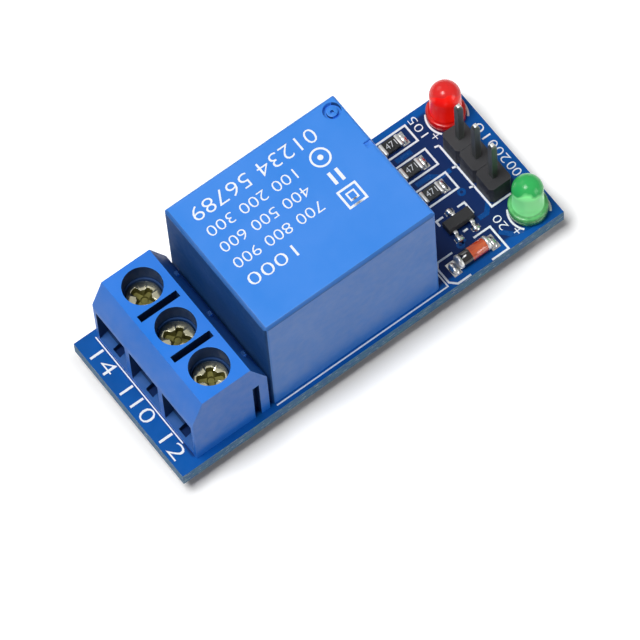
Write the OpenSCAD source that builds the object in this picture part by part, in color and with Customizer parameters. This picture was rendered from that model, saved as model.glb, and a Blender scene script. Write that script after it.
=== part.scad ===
// One-channel relay module: a long narrow circuit board that carries a three-pole screw
// terminal, a sealed power relay, its small driver circuit, a three-pin header and two
// indicator lamps. X runs along the board from the terminals to the header, Y across it and
// Z up. The origin is under the middle of the board, in the plane of the trimmed lead tips
// that the module stands on.

/* [Board] */
// Thickness of the board
board_t = 1.6; // [1:0.1:2.4]
// Length of the trimmed leads that stand out below the board
lead_out = 1.8; // [1.3:0.1:2.6]
// Bare board beyond the widest component, on each long side
side_margin = 0.75; // [0.6:0.05:3]
// Bare board in front of the terminal block
block_inset = 2.1; // [1.5:0.1:6]
// Gap between the terminal block and the relay
relay_gap = 0.4; // [0.2:0.1:3]
// Board from the relay to the end that carries the header
control_l = 13.7; // [13.3:0.1:20]
// Clearance between a drilled hole and the corners of its lead
drill_gap = 0.12; // [0.05:0.01:0.3]
// Width of a printed line
print_w = 0.2; // [0.1:0.05:0.3]
// Thickness of the printed ink
print_t = 0.03; // [0.02:0.01:0.06]

/* [Terminal block] */
// Distance between neighbouring poles
pole_pitch = 5.08; // [5:0.01:7.62]
// Depth of the housing, from its front ridge to its back
block_d = 8.3; // [8.1:0.1:11]
// Height of the housing
block_h = 10; // [9.6:0.1:13]
// Height of the ridge at the foot of the front slope
ridge_h = 7; // [6.7:0.1:8.5]
// Height of the back wall, at the foot of the rear slope
back_h = 6.6; // [5.5:0.1:8]
// How far the front slope runs back
front_slope = 1.3; // [0.6:0.1:1.7]
// How far the rear slope runs forward
rear_slope = 1.65; // [0.8:0.05:2]
// Distance of the screw axes behind the front ridge
screw_back = 4; // [3.9:0.1:4.3]
// Diameter of the screwdriver openings
access_d = 3.85; // [3.7:0.05:4.2]
// Width of a wire opening
wire_w = 4.4; // [4.3:0.05:4.7]
// Height of the wire opening's upper edge
wire_top = 5.9; // [5.2:0.1:6.3]
// Height of the floor inside a wire opening
floor_h = 0.9; // [0.5:0.1:1.2]
// Thickness of the housing's end walls
end_wall = 0.4; // [0.3:0.05:1]
// Width of the hole in the middle of each wire opening's floor
notch_w = 1.1; // [0.6:0.1:2]
// Width of the slots between the poles in the top face
top_slot_w = 0.72; // [0.4:0.02:0.8]
// Length of the slots between the poles
top_slot_l = 4.35; // [2:0.05:4.8]
// Width of the joining groove in one end face and of the rib on the other
joint_w = 0.7; // [0.5:0.1:1.2]
// Depth of the joining groove
joint_depth = 0.8; // [0.6:0.05:0.9]
// How far the joining rib stands out
joint_t = 0.35; // [0.2:0.05:0.5]

/* [Terminal screws and clamps] */
// Diameter of a screw head
head_d = 3.46; // [3:0.02:3.5]
// Thickness of a screw head
head_t = 1; // [0.8:0.05:1.1]
// Depth of the screw heads below the top face
head_depth = 2.3; // [2.2:0.1:2.4]
// Diameter of the screw shank
shank_d = 2.5; // [2:0.1:2.6]
// Width of the slots in a screw head
slot_w = 0.55; // [0.4:0.05:0.8]
// Angle that each screw's slot was left at, pole by pole
slot_turns = [62, 38, 20]; // [0:1:180]
// Wall of the folded clamp
clamp_wall = 0.5; // [0.4:0.05:0.6]
// Thickness of the clamp's threaded top
clamp_top = 0.8; // [0.6:0.05:0.9]
// Width of the clamp, across the wire
clamp_w = 4.1; // [4:0.05:4.2]
// Length of the clamp, along the wire
clamp_l = 3.6; // [3.2:0.1:3.7]
// Height of the space for the wire under the contact bar
wire_gap = 2.1; // [1.6:0.1:2.2]
// Thickness of the contact strip
contact_t = 0.5; // [0.4:0.05:0.6]
// Width of the contact bar
bar_w = 2.8; // [2:0.1:2.9]
// Width of the contact's pin
contact_pin_w = 1; // [0.7:0.1:1.2]

/* [Relay case] */
// Length of the relay
relay_l = 19.1; // [19:0.1:22]
// Width of the relay
relay_w = 15.4; // [15.2:0.1:18]
// Height of the relay
relay_h = 15.3; // [15:0.1:20]
// Wall of the relay's cover
cover_wall = 0.8; // [0.6:0.05:0.9]
// Thickness of the cover's top
cover_top = 0.9; // [0.8:0.05:1]
// Radius of the cover's edges
cover_round = 0.4; // [0.2:0.05:0.6]
// Diameter of the vent recess in the cover's top
vent_d = 1.75; // [1.4:0.05:2]
// Diameter of the vent boss inside that recess
boss_d = 1.05; // [0.7:0.05:1.1]
// Thickness of the relay's base
base_t = 1.2; // [1:0.1:1.6]
// Height of the base above the board
base_lift = 0.4; // [0.2:0.1:0.6]
// Distance of the common pin from the relay's end face
common_in = 2.4; // [2.2:0.1:2.6]
// Distance from the common pin to the coil pins, along the relay
coil_step = 2; // [1.8:0.1:2.2]
// Distance of the contact pins from the relay's other end face
contact_in = 2.5; // [2.3:0.1:2.8]
// Distance of the paired pins from the relay's long sides
pin_in = 1.7; // [1.6:0.05:2]

/* [Relay works] */
// Diameter of the iron core
core_d = 4; // [3:0.1:4.4]
// Diameter of the core's pole face
pole_d = 6; // [5:0.1:7]
// Thickness of the core's pole face
pole_t = 0.7; // [0.5:0.1:1]
// Diameter of the bobbin's upper flange
flange_d = 8.2; // [8:0.1:8.3]
// Diameter of the winding
winding_d = 7.8; // [7:0.1:7.9]
// Wall of the bobbin's tube
bobbin_wall = 0.6; // [0.4:0.1:0.8]
// Thickness of the iron yoke
yoke_t = 1.2; // [0.9:0.1:1.3]
// Width of the yoke
yoke_w = 7.6; // [6:0.1:8]
// Depth of the armature's hinge line below the relay's top
hinge_depth = 4.7; // [4.6:0.1:5.4]
// Thickness of the armature
armature_t = 1; // [0.8:0.05:1.1]
// Width of the armature
armature_w = 7; // [5:0.1:8]
// Angle by which the released armature stands off the core
rest_tilt = 3; // [2:0.1:3.2]
// Thickness of the contact spring
spring_t = 0.15; // [0.1:0.01:0.2]
// Width of the contact spring at its free end
spring_w = 2.4; // [2:0.1:3]
// Diameter of the contact buttons
button_d = 1.8; // [1.2:0.1:2]
// Thickness of the contact buttons
button_t = 0.4; // [0.3:0.05:0.45]
// Thickness of the relay's terminal strips
strip_t = 0.4; // [0.3:0.05:0.5]
// Width of the relay's terminal strips
strip_w = 1.8; // [1.2:0.1:2]

/* [Header] */
// Distance between neighbouring header pins
pin_pitch = 2.54; // [2:0.01:2.54]
// Side of a header pin
pin_sq = 0.64; // [0.5:0.02:0.7]
// Height of the header pins above the board
pin_h = 8.6; // [7:0.1:12]
// Height of the header's plastic body
header_h = 2.54; // [2:0.02:3.5]
// Width of the header's plastic body
header_w = 2.5; // [2.2:0.05:2.6]
// Distance of the header pins from the end of the board
header_in = 3.55; // [3.2:0.05:4]
// Shift of the header from the middle of the board's width
header_shift = 0.05; // [-0.5:0.05:0.5]

/* [Indicator lamps] */
// Diameter of a lamp's dome
lamp_d = 3; // [2.6:0.1:3.2]
// Diameter of the lamp's rim
rim_d = 3.8; // [3.4:0.1:3.9]
// Height of the rim
rim_t = 1; // [0.8:0.1:1.2]
// Height of the lamp from its base to the top of its dome
lamp_h = 5.3; // [5:0.1:6.5]
// Gap between the red lamp and the board
red_lift = 0.05; // [0.05:0.05:1.5]
// Gap between the green lamp and the board
green_lift = 0.3; // [0.05:0.05:1.5]
// Distance of the lamps from the end of the board
lamp_in = 2.45; // [2.3:0.05:3]
// Distance of the lamps from the middle of the board's width
lamp_off = 6.25; // [6.05:0.05:6.3]
// Distance between a lamp's two leads
lamp_lead_pitch = 2.54; // [2:0.02:2.54]
// Side of a lamp's lead
lamp_lead = 0.4; // [0.3:0.05:0.4]

/* [Surface-mounted parts] */
// Distance of these parts' middle from the relay
chip_off = 5.2; // [4.9:0.1:5.6]
// Length of a resistor
resistor_l = 2.1; // [1.6:0.1:2.6]
// Width of a resistor
resistor_w = 1.25; // [1:0.05:1.6]
// Thickness of a resistor
resistor_t = 0.5; // [0.4:0.05:0.7]
// Length of a resistor's end caps
resistor_cap = 0.35; // [0.2:0.05:0.5]
// Distance between neighbouring resistors
resistor_pitch = 3.1; // [2.6:0.05:3.2]
// Length of the transistor's body
transistor_l = 2.9; // [2.6:0.1:3.1]
// Width of the transistor's body
transistor_w = 1.3; // [1.1:0.05:1.5]
// Height of the transistor
transistor_h = 1; // [0.8:0.05:1.2]
// Span of the transistor over its leads
transistor_span = 2.4; // [2.2:0.05:2.8]
// Length of the diode
diode_l = 3.7; // [3.3:0.1:4]
// Diameter of the diode
diode_d = 1.45; // [1.2:0.05:1.6]

/* [Hidden] */
$fn = 48;
eps = 0.01;
through = 60; // longer than anything that is cut through
poles = 3;
seat_gap = 0.05; // clearance of a moulded or punched seat round what stands in it
turn_gap = 0.05; // radial clearance of a turning piece

// The board
block_w = (poles - 1) * pole_pitch + wire_w + 2 * end_wall;
board_w = max(relay_w, block_w) + 2 * side_margin;
board_l = block_inset + block_d + relay_gap + relay_l + control_l;
under_z = lead_out;
top_z = lead_out + board_t;

// The terminal block
front_x = -board_l / 2 + block_inset;
rear_x = front_x + block_d;
block_y = -0.1;
screw_x = front_x + screw_back;
first_pole_y = block_y - (poles - 1) / 2 * pole_pitch;
function pole_y(n) = first_pole_y + (n - 1) * pole_pitch;
clamp_z = top_z + floor_h;
bar_z = clamp_z + clamp_wall + wire_gap;
head_top_z = top_z + block_h - head_depth;
head_z = head_top_z - head_t;
chamber_gap = 0.2; // between the clamp and the ends of the chamber it rises in
chamber_x = screw_x + clamp_l / 2 + chamber_gap;
contact_x = chamber_x + 0.1;
contact_h_gap = 0.1; // between the contact bar and the clamp's top, with the clamp let down
bore_step = 0.15; // from the head's top up to the wider screwdriver opening
lip_h = floor_h * 0.55; // height of the wire opening's floor at its front edge
lip_l = 0.9; // length of the slope that leads up from there
notch_in = 0.3; // of the hole in that floor, behind the front face
slot_low = 0.2; // bottom of the slots between the poles, above the ridge
nub = 0.45; // side of the nubs on the rear slope
nub_h = 0.5;
nub_off = 0.2;
groove_x = rear_x - 1.65;
groove_h = back_h - 0.6;
rib_low = 0.1; // top of the rib below the groove's

// The relay
relay_x0 = rear_x + relay_gap;
relay_x1 = relay_x0 + relay_l;
base_z = top_z + base_lift;
works_z = base_z + base_t;
pin_back = 0.6; // from the common pin's middle to the back of the yoke
hinge_x = relay_x1 - common_in + pin_back;
hinge_z = top_z + relay_h - hinge_depth;
coil_gap = 0.25; // between the bobbin's flange and the yoke
core_x = hinge_x - yoke_t - coil_gap - flange_d / 2;
common_x = relay_x1 - common_in;
coil_pin_x = common_x - coil_step;
switch_x = relay_x0 + contact_in;
pin_y = relay_w / 2 - pin_in;
coil_pin_sq = 0.6;
coil_pin_top = 0.5; // of a coil pin above the bobbin's foot
bobbin_z = works_z + yoke_t;
bobbin_foot_t = 0.9;
flange_t = 0.7;
pole_z = hinge_z - pole_t;
bobbin_side = 0.7; // of the bobbin's foot, beyond its pins
pin_w = 1;
barrier_gap = 0.8; // between the barrier and the bobbin's flange
barrier_t = 0.6;
barrier_h = 4.5;
base_gap = 0.1; // between the base and the cover
spring_side = 0.6; // by which the spring is narrower than the armature, on each side
spring_foot = 4; // length of the spring's foot along the yoke
yoke_lap = 1; // of the yoke's foot beyond the core
button_lap = 0.3; // of the spring and the arms beyond a contact button
armature_back = 0.3; // between the armature's end and the hinge line
armature_lap = 0.6; // of the armature beyond the pole face
vent_x = 1.15; // of the vent from the relay's end
vent_y = 1.35; // of the vent from the relay's long side
vent_depth = 0.55;
boss_low = 0.15; // depth of the boss's top below the cover's
mark_l = 0.8; // moulded dent beside the cover's far edge
mark_w = 0.7;
mark_in = 0.1;
mark_y = 1.65;
mark_depth = 0.3;
rivet_rise = (hinge_x - switch_x + button_d / 2) * sin(rest_tilt);
button_gap = 0.03; // left between two contacts that touch
nc_z = hinge_z + rivet_rise + armature_t + spring_t + button_t + button_gap;
no_z = hinge_z + armature_t - button_t - button_gap;

// The header and the lamps
header_x = board_l / 2 - header_in;
header_l = 3 * pin_pitch;
corner_cut = 0.3;
lamp_x = board_l / 2 - lamp_in;
function lamp_z(side) = top_z + (side > 0 ? red_lift : green_lift);
function frame_z(side) = lamp_z(side) + rim_t + 1.1; // where the lamp's lead frame widens
post_t = 0.9;
post_gap = 0.35; // between the anode's post and the lamp's axis
cup_lap = 0.1; // of the cathode's cup beyond the lamp's axis
chip_y = 0.35; // of the chip beside the lamp's axis
chip_sq = 0.35;
chip_t = 0.15;
rim_flat = 0.15; // between the dome and the flat on the rim

// The surface-mounted parts
chip_x = relay_x1 + chip_off;
resistor_y = 0.5;
transistor_x = chip_x + 0.15;
transistor_y = -3.4;
transistor_lead = 0.4;
transistor_pitch = 1.9;
transistor_strip = 0.13;
transistor_foot = 0.1; // gap under its body
transistor_draft = 0.12;
transistor_mid = (transistor_foot + transistor_h) / 2;
diode_x = chip_x - 0.85;
diode_y = -6.9;
diode_cap = 0.5;

// Solder on the board: its length beyond a part and the share of the part's height it climbs
fillet_l = 0.55;
fillet_edge = 0.06;
fillet_side = 0.05; // beyond a resistor's side
foot_l = 0.35; // at a transistor's foot
foot_side = 0.15;
resistor_climb = 0.8;
diode_climb = 0.6;
diode_extra = 0.15;
// A solder cone under the board: distance beyond the lead's corner, depth below the board
cone = [[0.5, 0], [0.42, 0.15], [0.2, 0.45], [0.08, 0.8], [0.03, 1.15]];

// The printed outlines
silk_gap = 0.18; // between a part and its outline
silk_seam = 0.02; // between the terminal block and the line in front of it
block_silk_in = 2; // of that line, from the block's near end
relay_silk = 0.65; // of the relay's outline beyond its end
resistor_silk_x = 0.55; // of a resistor's box beyond the solder
resistor_silk_y = 0.38;
corner_silk_x = 0.25; // of the transistor's corners beyond its body
corner_silk_l = 0.6;
diode_silk = 0.6;
spike_l = 0.3; // of the spikes between the header's pins
ring_gap = 0.05; // between a lamp's rim and the arcs beside it
ring_side = 2.6; // width across the board of those arcs

pcb_blue = [0.12, 0.22, 0.55];
housing_blue = [0.24, 0.5, 0.9];
tin = [0.78, 0.78, 0.76];

lamps = [["red", 1], ["green", -1]];

// ---------- helpers ----------

// A box between two opposite corners
module slab(low, high) {
    translate(low) cube(high - low);
}

// A square or oblong bar standing on Z, centred on x and y
module bar(x, y, z0, z1, wx, wy) {
    slab([x - wx / 2, y - wy / 2, z0], [x + wx / 2, y + wy / 2, z1]);
}

// An outline in X and Z, extruded along Y from y0 to y1
module along_y(y0, y1) {
    translate([0, y1, 0]) rotate([90, 0, 0]) linear_extrude(y1 - y0) children();
}

// An outline in Y and Z, extruded along X from x0 to x1
module along_x(x0, x1) {
    translate([x0, 0, 0]) rotate([90, 0, 90]) linear_extrude(x1 - x0) children();
}

// A rectangle from a to b whose corners are rounded
module soft_rect(a, b, r) {
    translate([a[0] + r, a[1]]) square([b[0] - a[0] - 2 * r, b[1] - a[1]]);
    translate([a[0], a[1] + r]) square([b[0] - a[0], b[1] - a[1] - 2 * r]);
    for (x = [a[0] + r, b[0] - r], y = [a[1] + r, b[1] - r]) translate([x, y]) circle(r);
}

// Every lead that goes through the board: [x, y, width along X, width along Y]
leads = concat(
    [for (n = [1:poles]) [contact_x + contact_t / 2, pole_y(n), contact_t, contact_pin_w]],
    [[common_x, 0, strip_t, pin_w]],
    [for (s = [-1, 1]) [coil_pin_x, s * pin_y, coil_pin_sq, coil_pin_sq]],
    [for (s = [-1, 1]) [switch_x, s * pin_y, pin_w, strip_t]],
    [for (n = [-1:1]) [header_x, header_shift + n * pin_pitch, pin_sq, pin_sq]],
    [for (side = [-1, 1], s = [-1, 1])
        [lamp_x, side * lamp_off + s * lamp_lead_pitch / 2, lamp_lead, lamp_lead]]);

// ---------- board ----------

module pcb() {
    color(pcb_blue) difference() {
        slab([-board_l / 2, -board_w / 2, under_z], [board_l / 2, board_w / 2, top_z]);
        for (lead = leads)
            translate([lead[0], lead[1], under_z - eps])
                cylinder(h = board_t + 2 * eps, r = norm([lead[2], lead[3]]) / 2 + drill_gap);
    }
}

// One printed line, from one corner to the other
module ink(a, b) {
    slab([a[0], a[1], top_z], [b[0], b[1], top_z + print_t]);
}

// A printed frame between two corners, with its sides named by a 1 or a 0:
// [low x, high x, low y, high y]
module ink_frame(a, b, sides) {
    if (sides[0] == 1) ink(a, [a[0] + print_w, b[1]]);
    if (sides[1] == 1) ink([b[0] - print_w, a[1]], b);
    if (sides[2] == 1) ink(a, [b[0], a[1] + print_w]);
    if (sides[3] == 1) ink([a[0], b[1] - print_w], b);
}

module silkscreen() {
    half_relay = relay_w / 2 + silk_gap + print_w;
    half_block = block_w / 2;
    header_y0 = header_shift - header_l / 2 - silk_gap - print_w;
    header_y1 = header_shift + header_l / 2 + silk_gap + print_w;
    header_x0 = header_x - header_w / 2 - silk_gap;
    box_x = resistor_l / 2 + fillet_l + resistor_silk_x;
    box_y = resistor_w / 2 + resistor_silk_y;
    color("white") {
        // the line in front of the terminals
        ink([front_x - silk_seam - print_w, block_y - half_block + block_silk_in],
            [front_x - silk_seam, block_y + half_block + silk_gap]);
        // the relay's outline, where its cover leaves it open
        ink_frame([relay_x0 + silk_gap, -half_relay],
                  [relay_x1 + relay_silk + print_w / 2, half_relay], [0, 1, 1, 1]);
        // the resistors' boxes
        for (n = [0:2])
            translate([chip_x, resistor_y + n * resistor_pitch, 0])
                ink_frame([-box_x, -box_y], [box_x, box_y], [0, 1, 1, 1]);
        // the transistor's corners
        for (s = [-1, 1])
            ink([transistor_x + s * (transistor_l / 2 + corner_silk_x) - print_w / 2,
                 transistor_y + transistor_w / 2],
                [transistor_x + s * (transistor_l / 2 + corner_silk_x) + print_w / 2,
                 transistor_y + transistor_w / 2 + corner_silk_l]);
        // the diode's box, open round its pads
        for (s = [-1, 1])
            ink([diode_x - diode_l / 2, diode_y + s * (diode_d / 2 + diode_silk) - print_w / 2],
                [diode_x + diode_l / 2, diode_y + s * (diode_d / 2 + diode_silk) + print_w / 2]);
        // the header's outline, with a short spike at each pin
        ink([header_x0 - print_w, header_y0], [header_x0, header_y1]);
        ink([header_x0, header_y0], [header_x + header_w / 2, header_y0 + print_w]);
        for (n = [-1:1])
            ink([header_x0 - print_w - spike_l, header_shift + (n + 0.5) * pin_pitch - print_w / 2],
                [header_x0 - print_w, header_shift + (n + 0.5) * pin_pitch + print_w / 2]);
        // an arc on either side of each lamp
        for (s = [-1, 1])
            translate([lamp_x, s * lamp_off, top_z]) intersection() {
                difference() {
                    cylinder(h = print_t, d = rim_d + 2 * (ring_gap + print_w));
                    translate([0, 0, -1]) cylinder(h = 2, d = rim_d + 2 * ring_gap);
                }
                bar(0, 0, 0, 1, 2 * rim_d, ring_side);
            }
    }
}

// A ramp of solder that starts at x, y and runs out along the direction of turn
module fillet(x, y, h, l, w, turn) {
    translate([x, y, top_z]) rotate([0, 0, turn])
        along_y(-w / 2, w / 2)
            polygon([[0, 0], [l, 0], [l, fillet_edge], [l * 0.55, h * 0.3], [0, h]]);
}

module smd_solder() {
    color(tin) {
        for (n = [0:2], s = [0, 180])
            fillet(chip_x + (s == 0 ? 1 : -1) * resistor_l / 2,
                   resistor_y + n * resistor_pitch, resistor_t * resistor_climb, fillet_l,
                   resistor_w + 2 * fillet_side, s);
        for (s = [0, 180])
            fillet(diode_x + (s == 0 ? 1 : -1) * diode_l / 2, diode_y, diode_d * diode_climb,
                   fillet_l + diode_extra, diode_d, s);
        fillet(transistor_x, transistor_y + transistor_span / 2, transistor_strip, foot_l,
               transistor_lead + 2 * foot_side, 90);
        for (s = [-1, 1])
            fillet(transistor_x + s * transistor_pitch / 2, transistor_y - transistor_span / 2,
                   transistor_strip, foot_l, transistor_lead + 2 * foot_side, -90);
    }
}

// A cone of solder under the board round each lead
module tht_solder() {
    color(tin)
        for (lead = leads) {
            r = norm([lead[2], lead[3]]) / 2;
            translate([lead[0], lead[1], 0]) difference() {
                translate([0, 0, under_z]) mirror([0, 0, 1])
                    rotate_extrude() polygon(concat(
                        [[0, 0]], [for (c = cone) [r + c[0], c[1]]], [[0, cone[4][1]]]));
                bar(0, 0, -1, under_z + 1, lead[2], lead[3]);
            }
        }
}

// ---------- terminal block ----------

module terminal_housing() {
    y0 = block_y - block_w / 2;
    y1 = block_y + block_w / 2;
    color(housing_blue) difference() {
        union() {
            along_y(y0, y1) polygon([
                [front_x, top_z], [rear_x, top_z], [rear_x, top_z + back_h],
                [rear_x - rear_slope, top_z + block_h], [front_x + front_slope, top_z + block_h],
                [front_x, top_z + ridge_h]]);
            // the joining rib
            slab([groove_x + seat_gap, y1 - eps, top_z],
                 [groove_x + joint_w - seat_gap, y1 + joint_t, top_z + groove_h - rib_low]);
            // a small nub on the rear slope behind each pole
            for (n = [1:poles])
                translate([rear_x - rear_slope / 2, pole_y(n) - nub_off,
                           top_z + (back_h + block_h) / 2])
                    bar(0, 0, -nub_h / 2, nub_h / 2, nub, nub);
        }
        // the joining groove
        slab([groove_x, y0 - 1, top_z - 1],
             [groove_x + joint_w, y0 + joint_depth, top_z + groove_h]);
        for (n = [1:poles]) {
            // the opening for the wire, and the higher chamber that the clamp rises in
            slab([front_x - 1, pole_y(n) - wire_w / 2, clamp_z],
                 [chamber_x, pole_y(n) + wire_w / 2, top_z + wire_top]);
            slab([screw_x - clamp_l / 2 - chamber_gap, pole_y(n) - wire_w / 2, clamp_z],
                 [chamber_x, pole_y(n) + wire_w / 2, head_z]);
            // the floor's sloping front edge and the hole behind it
            along_y(pole_y(n) - wire_w / 2, pole_y(n) + wire_w / 2) polygon([
                [front_x - 1, top_z + lip_h], [front_x, top_z + lip_h],
                [front_x + lip_l, clamp_z + eps], [front_x - 1, clamp_z + eps]]);
            slab([front_x + notch_in, pole_y(n) - notch_w / 2, top_z - 1],
                 [screw_x - clamp_l / 2 - chamber_gap, pole_y(n) + notch_w / 2, clamp_z + eps]);
            // the screwdriver opening, and the closer bore round the screw's head
            translate([screw_x, pole_y(n), head_top_z + bore_step])
                cylinder(h = head_depth, d = access_d);
            translate([screw_x, pole_y(n), head_z - eps])
                cylinder(h = head_t + bore_step + 2 * eps, d = head_d + 2 * turn_gap);
            // the seat of the contact strip
            slab([chamber_x - eps, pole_y(n) - bar_w / 2 - seat_gap, top_z - 1],
                 [contact_x + contact_t + seat_gap, pole_y(n) + bar_w / 2 + seat_gap,
                  bar_z + contact_t + seat_gap]);
        }
        // the slots in the top face, between the poles
        for (n = [1:poles - 1])
            translate([screw_x - 0.05, pole_y(n) + pole_pitch / 2, 0])
                bar(0, 0, top_z + ridge_h + slot_low, top_z + block_h + 1, top_slot_l, top_slot_w);
    }
}

module terminal_screw(n) {
    slot_h = head_t * 0.55;
    color([0.72, 0.68, 0.5]) translate([screw_x, pole_y(n), 0]) difference() {
        union() {
            translate([0, 0, head_z]) cylinder(h = head_t, d = head_d);
            translate([0, 0, bar_z + contact_t])
                cylinder(h = head_z - bar_z - contact_t + eps, d = shank_d);
        }
        rotate([0, 0, slot_turns[n - 1]]) {
            bar(0, 0, head_top_z - slot_h, head_top_z + 1, head_d * 1.2, slot_w);
            bar(0, 0, head_top_z - slot_h, head_top_z + 1, slot_w, head_d * 0.62);
        }
    }
}

// A folded metal loop that the screw draws up, so that its floor presses the wire to the bar
module wire_clamp(n) {
    inner_h = wire_gap + contact_t + contact_h_gap;
    color([0.8, 0.8, 0.78]) translate([screw_x, pole_y(n), clamp_z]) difference() {
        bar(0, 0, 0, clamp_wall + inner_h + clamp_top, clamp_l, clamp_w);
        bar(0, 0, clamp_wall, clamp_wall + inner_h, clamp_l + 1, clamp_w - 2 * clamp_wall);
        translate([0, 0, clamp_wall + inner_h / 2])
            cylinder(h = through, d = shank_d + 2 * turn_gap);
    }
}

module terminal_contact(n) {
    color([0.82, 0.8, 0.72]) {
        slab([screw_x - clamp_l / 2, pole_y(n) - bar_w / 2, bar_z],
             [contact_x + contact_t, pole_y(n) + bar_w / 2, bar_z + contact_t]);
        slab([contact_x, pole_y(n) - bar_w / 2, top_z],
             [contact_x + contact_t, pole_y(n) + bar_w / 2, bar_z + eps]);
        bar(contact_x + contact_t / 2, pole_y(n), 0, top_z + eps, contact_t, contact_pin_w);
    }
}

// ---------- relay ----------

// A block with its upright corners and its top edges rounded
module rounded_block(a, b, r) {
    intersection() {
        translate([0, 0, a[2]]) linear_extrude(b[2] - a[2])
            soft_rect([a[0], a[1]], [b[0], b[1]], r);
        along_y(a[1], b[1]) soft_rect([a[0], a[2] - 2 * r], [b[0], b[2]], r);
        along_x(a[0], b[0]) soft_rect([a[1], a[2] - 2 * r], [b[1], b[2]], r);
    }
}

module relay_cover() {
    lid_z = top_z + relay_h;
    vent = [relay_x1 - vent_x, relay_w / 2 - vent_y];
    color(housing_blue) difference() {
        rounded_block([relay_x0, -relay_w / 2, top_z], [relay_x1, relay_w / 2, lid_z],
                      cover_round);
        slab([relay_x0 + cover_wall, -relay_w / 2 + cover_wall, top_z - 1],
             [relay_x1 - cover_wall, relay_w / 2 - cover_wall, lid_z - cover_top]);
        // the vent: a round recess with a boss that has a blind hole
        translate([vent[0], vent[1], lid_z - vent_depth]) difference() {
            cylinder(h = through, d = vent_d);
            translate([0, 0, -through]) cylinder(h = through + vent_depth - boss_low, d = boss_d);
        }
        translate([vent[0], vent[1], lid_z - vent_depth]) cylinder(h = through, d = boss_d / 3);
        // a small moulded dent beside the far edge
        bar(relay_x1 - mark_in - mark_l / 2, mark_y, lid_z - mark_depth, lid_z + through,
            mark_l, mark_w);
    }
}

module relay_base() {
    rim = cover_wall + base_gap;
    half_w = relay_w / 2 - rim;
    barrier_x = core_x - flange_d / 2 - barrier_gap;
    color([0.16, 0.28, 0.62]) difference() {
        union() {
            slab([relay_x0 + rim, -half_w, base_z], [relay_x1 - rim, half_w, works_z]);
            // the barrier between the coil and the contacts
            slab([barrier_x - barrier_t, -half_w, works_z - eps],
                 [barrier_x, half_w, works_z + barrier_h]);
        }
        bar(common_x, 0, base_z - through, works_z + through,
            strip_t + 2 * seat_gap, pin_w + 2 * seat_gap);
        for (s = [-1, 1]) {
            bar(coil_pin_x, s * pin_y, base_z - through, works_z + through,
                coil_pin_sq + 2 * seat_gap, coil_pin_sq + 2 * seat_gap);
            bar(switch_x, s * pin_y, base_z - through, works_z + through,
                pin_w + 2 * seat_gap, strip_t + 2 * seat_gap);
        }
    }
}

module coil_bobbin() {
    half = flange_d / 2;
    color([0.9, 0.9, 0.86]) difference() {
        union() {
            slab([core_x - half, -pin_y - bobbin_side, bobbin_z],
                 [core_x + half, pin_y + bobbin_side, bobbin_z + bobbin_foot_t]);
            translate([core_x, 0, bobbin_z]) {
                cylinder(h = pole_z - bobbin_z, d = core_d + 2 * (seat_gap + bobbin_wall));
                translate([0, 0, pole_z - bobbin_z - flange_t])
                    cylinder(h = flange_t, d = flange_d);
            }
        }
        translate([core_x, 0, bobbin_z - eps]) cylinder(h = through, d = core_d + 2 * seat_gap);
        for (s = [-1, 1])
            bar(coil_pin_x, s * pin_y, bobbin_z - eps, bobbin_z + bobbin_foot_t + eps,
                coil_pin_sq, coil_pin_sq);
    }
}

module coil_winding() {
    low = bobbin_z + bobbin_foot_t;
    color([0.72, 0.36, 0.16]) translate([core_x, 0, low]) difference() {
        cylinder(h = pole_z - flange_t - low, d = winding_d);
        translate([0, 0, -eps]) cylinder(h = through, d = core_d + 2 * (2 * seat_gap + bobbin_wall));
    }
}

module core() {
    color([0.6, 0.6, 0.6]) translate([core_x, 0, works_z]) {
        cylinder(h = pole_z - works_z + eps, d = core_d);
        translate([0, 0, pole_z - works_z]) cylinder(h = pole_t, d = pole_d);
    }
}

// The iron angle that carries the coil, with the common pin under it
module yoke() {
    color([0.55, 0.55, 0.56]) difference() {
        union() {
            slab([hinge_x - yoke_t, -yoke_w / 2, works_z], [hinge_x, yoke_w / 2, hinge_z]);
            slab([core_x - core_d / 2 - yoke_lap, -yoke_w / 2, works_z],
                 [hinge_x, yoke_w / 2, works_z + yoke_t]);
            bar(common_x, 0, 0, works_z + eps, strip_t, pin_w);
        }
        translate([core_x, 0, works_z - eps])
            cylinder(h = yoke_t + 2 * eps, d = core_d + 2 * seat_gap);
    }
}

// Places its children on the released armature: x runs from the hinge line, z from its underside
module on_armature() {
    translate([hinge_x, 0, hinge_z]) rotate([0, rest_tilt, 0]) children();
}

module armature() {
    reach = hinge_x - core_x + pole_d / 2 + armature_lap;
    color([0.62, 0.62, 0.62]) on_armature()
        slab([-reach, -armature_w / 2, 0], [-armature_back, armature_w / 2, armature_t]);
}

module contact_spring() {
    reach = hinge_x - switch_x + button_d / 2 + button_lap;
    root_l = hinge_x - core_x + pole_d / 2;
    half = armature_w / 2 - spring_side;
    color([0.8, 0.5, 0.28]) {
        on_armature() difference() {
            union() {
                slab([-root_l, -half, armature_t], [spring_t, half, armature_t + spring_t]);
                slab([-reach, -spring_w / 2, armature_t],
                     [-root_l + eps, spring_w / 2, armature_t + spring_t]);
            }
            translate([switch_x - hinge_x, 0, 0]) cylinder(h = through, d = button_d / 2);
        }
        // the foot that lies along the back of the yoke
        slab([hinge_x, -half, hinge_z - spring_foot],
             [hinge_x + spring_t, half, hinge_z + armature_t]);
    }
}

module moving_contact() {
    color([0.86, 0.86, 0.82]) on_armature() translate([switch_x - hinge_x, 0, armature_t]) {
        translate([0, 0, spring_t]) cylinder(h = button_t, d = button_d);
        translate([0, 0, -button_t]) cylinder(h = button_t, d = button_d);
        translate([0, 0, -eps]) cylinder(h = spring_t + 2 * eps, d = button_d / 2);
    }
}

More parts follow.
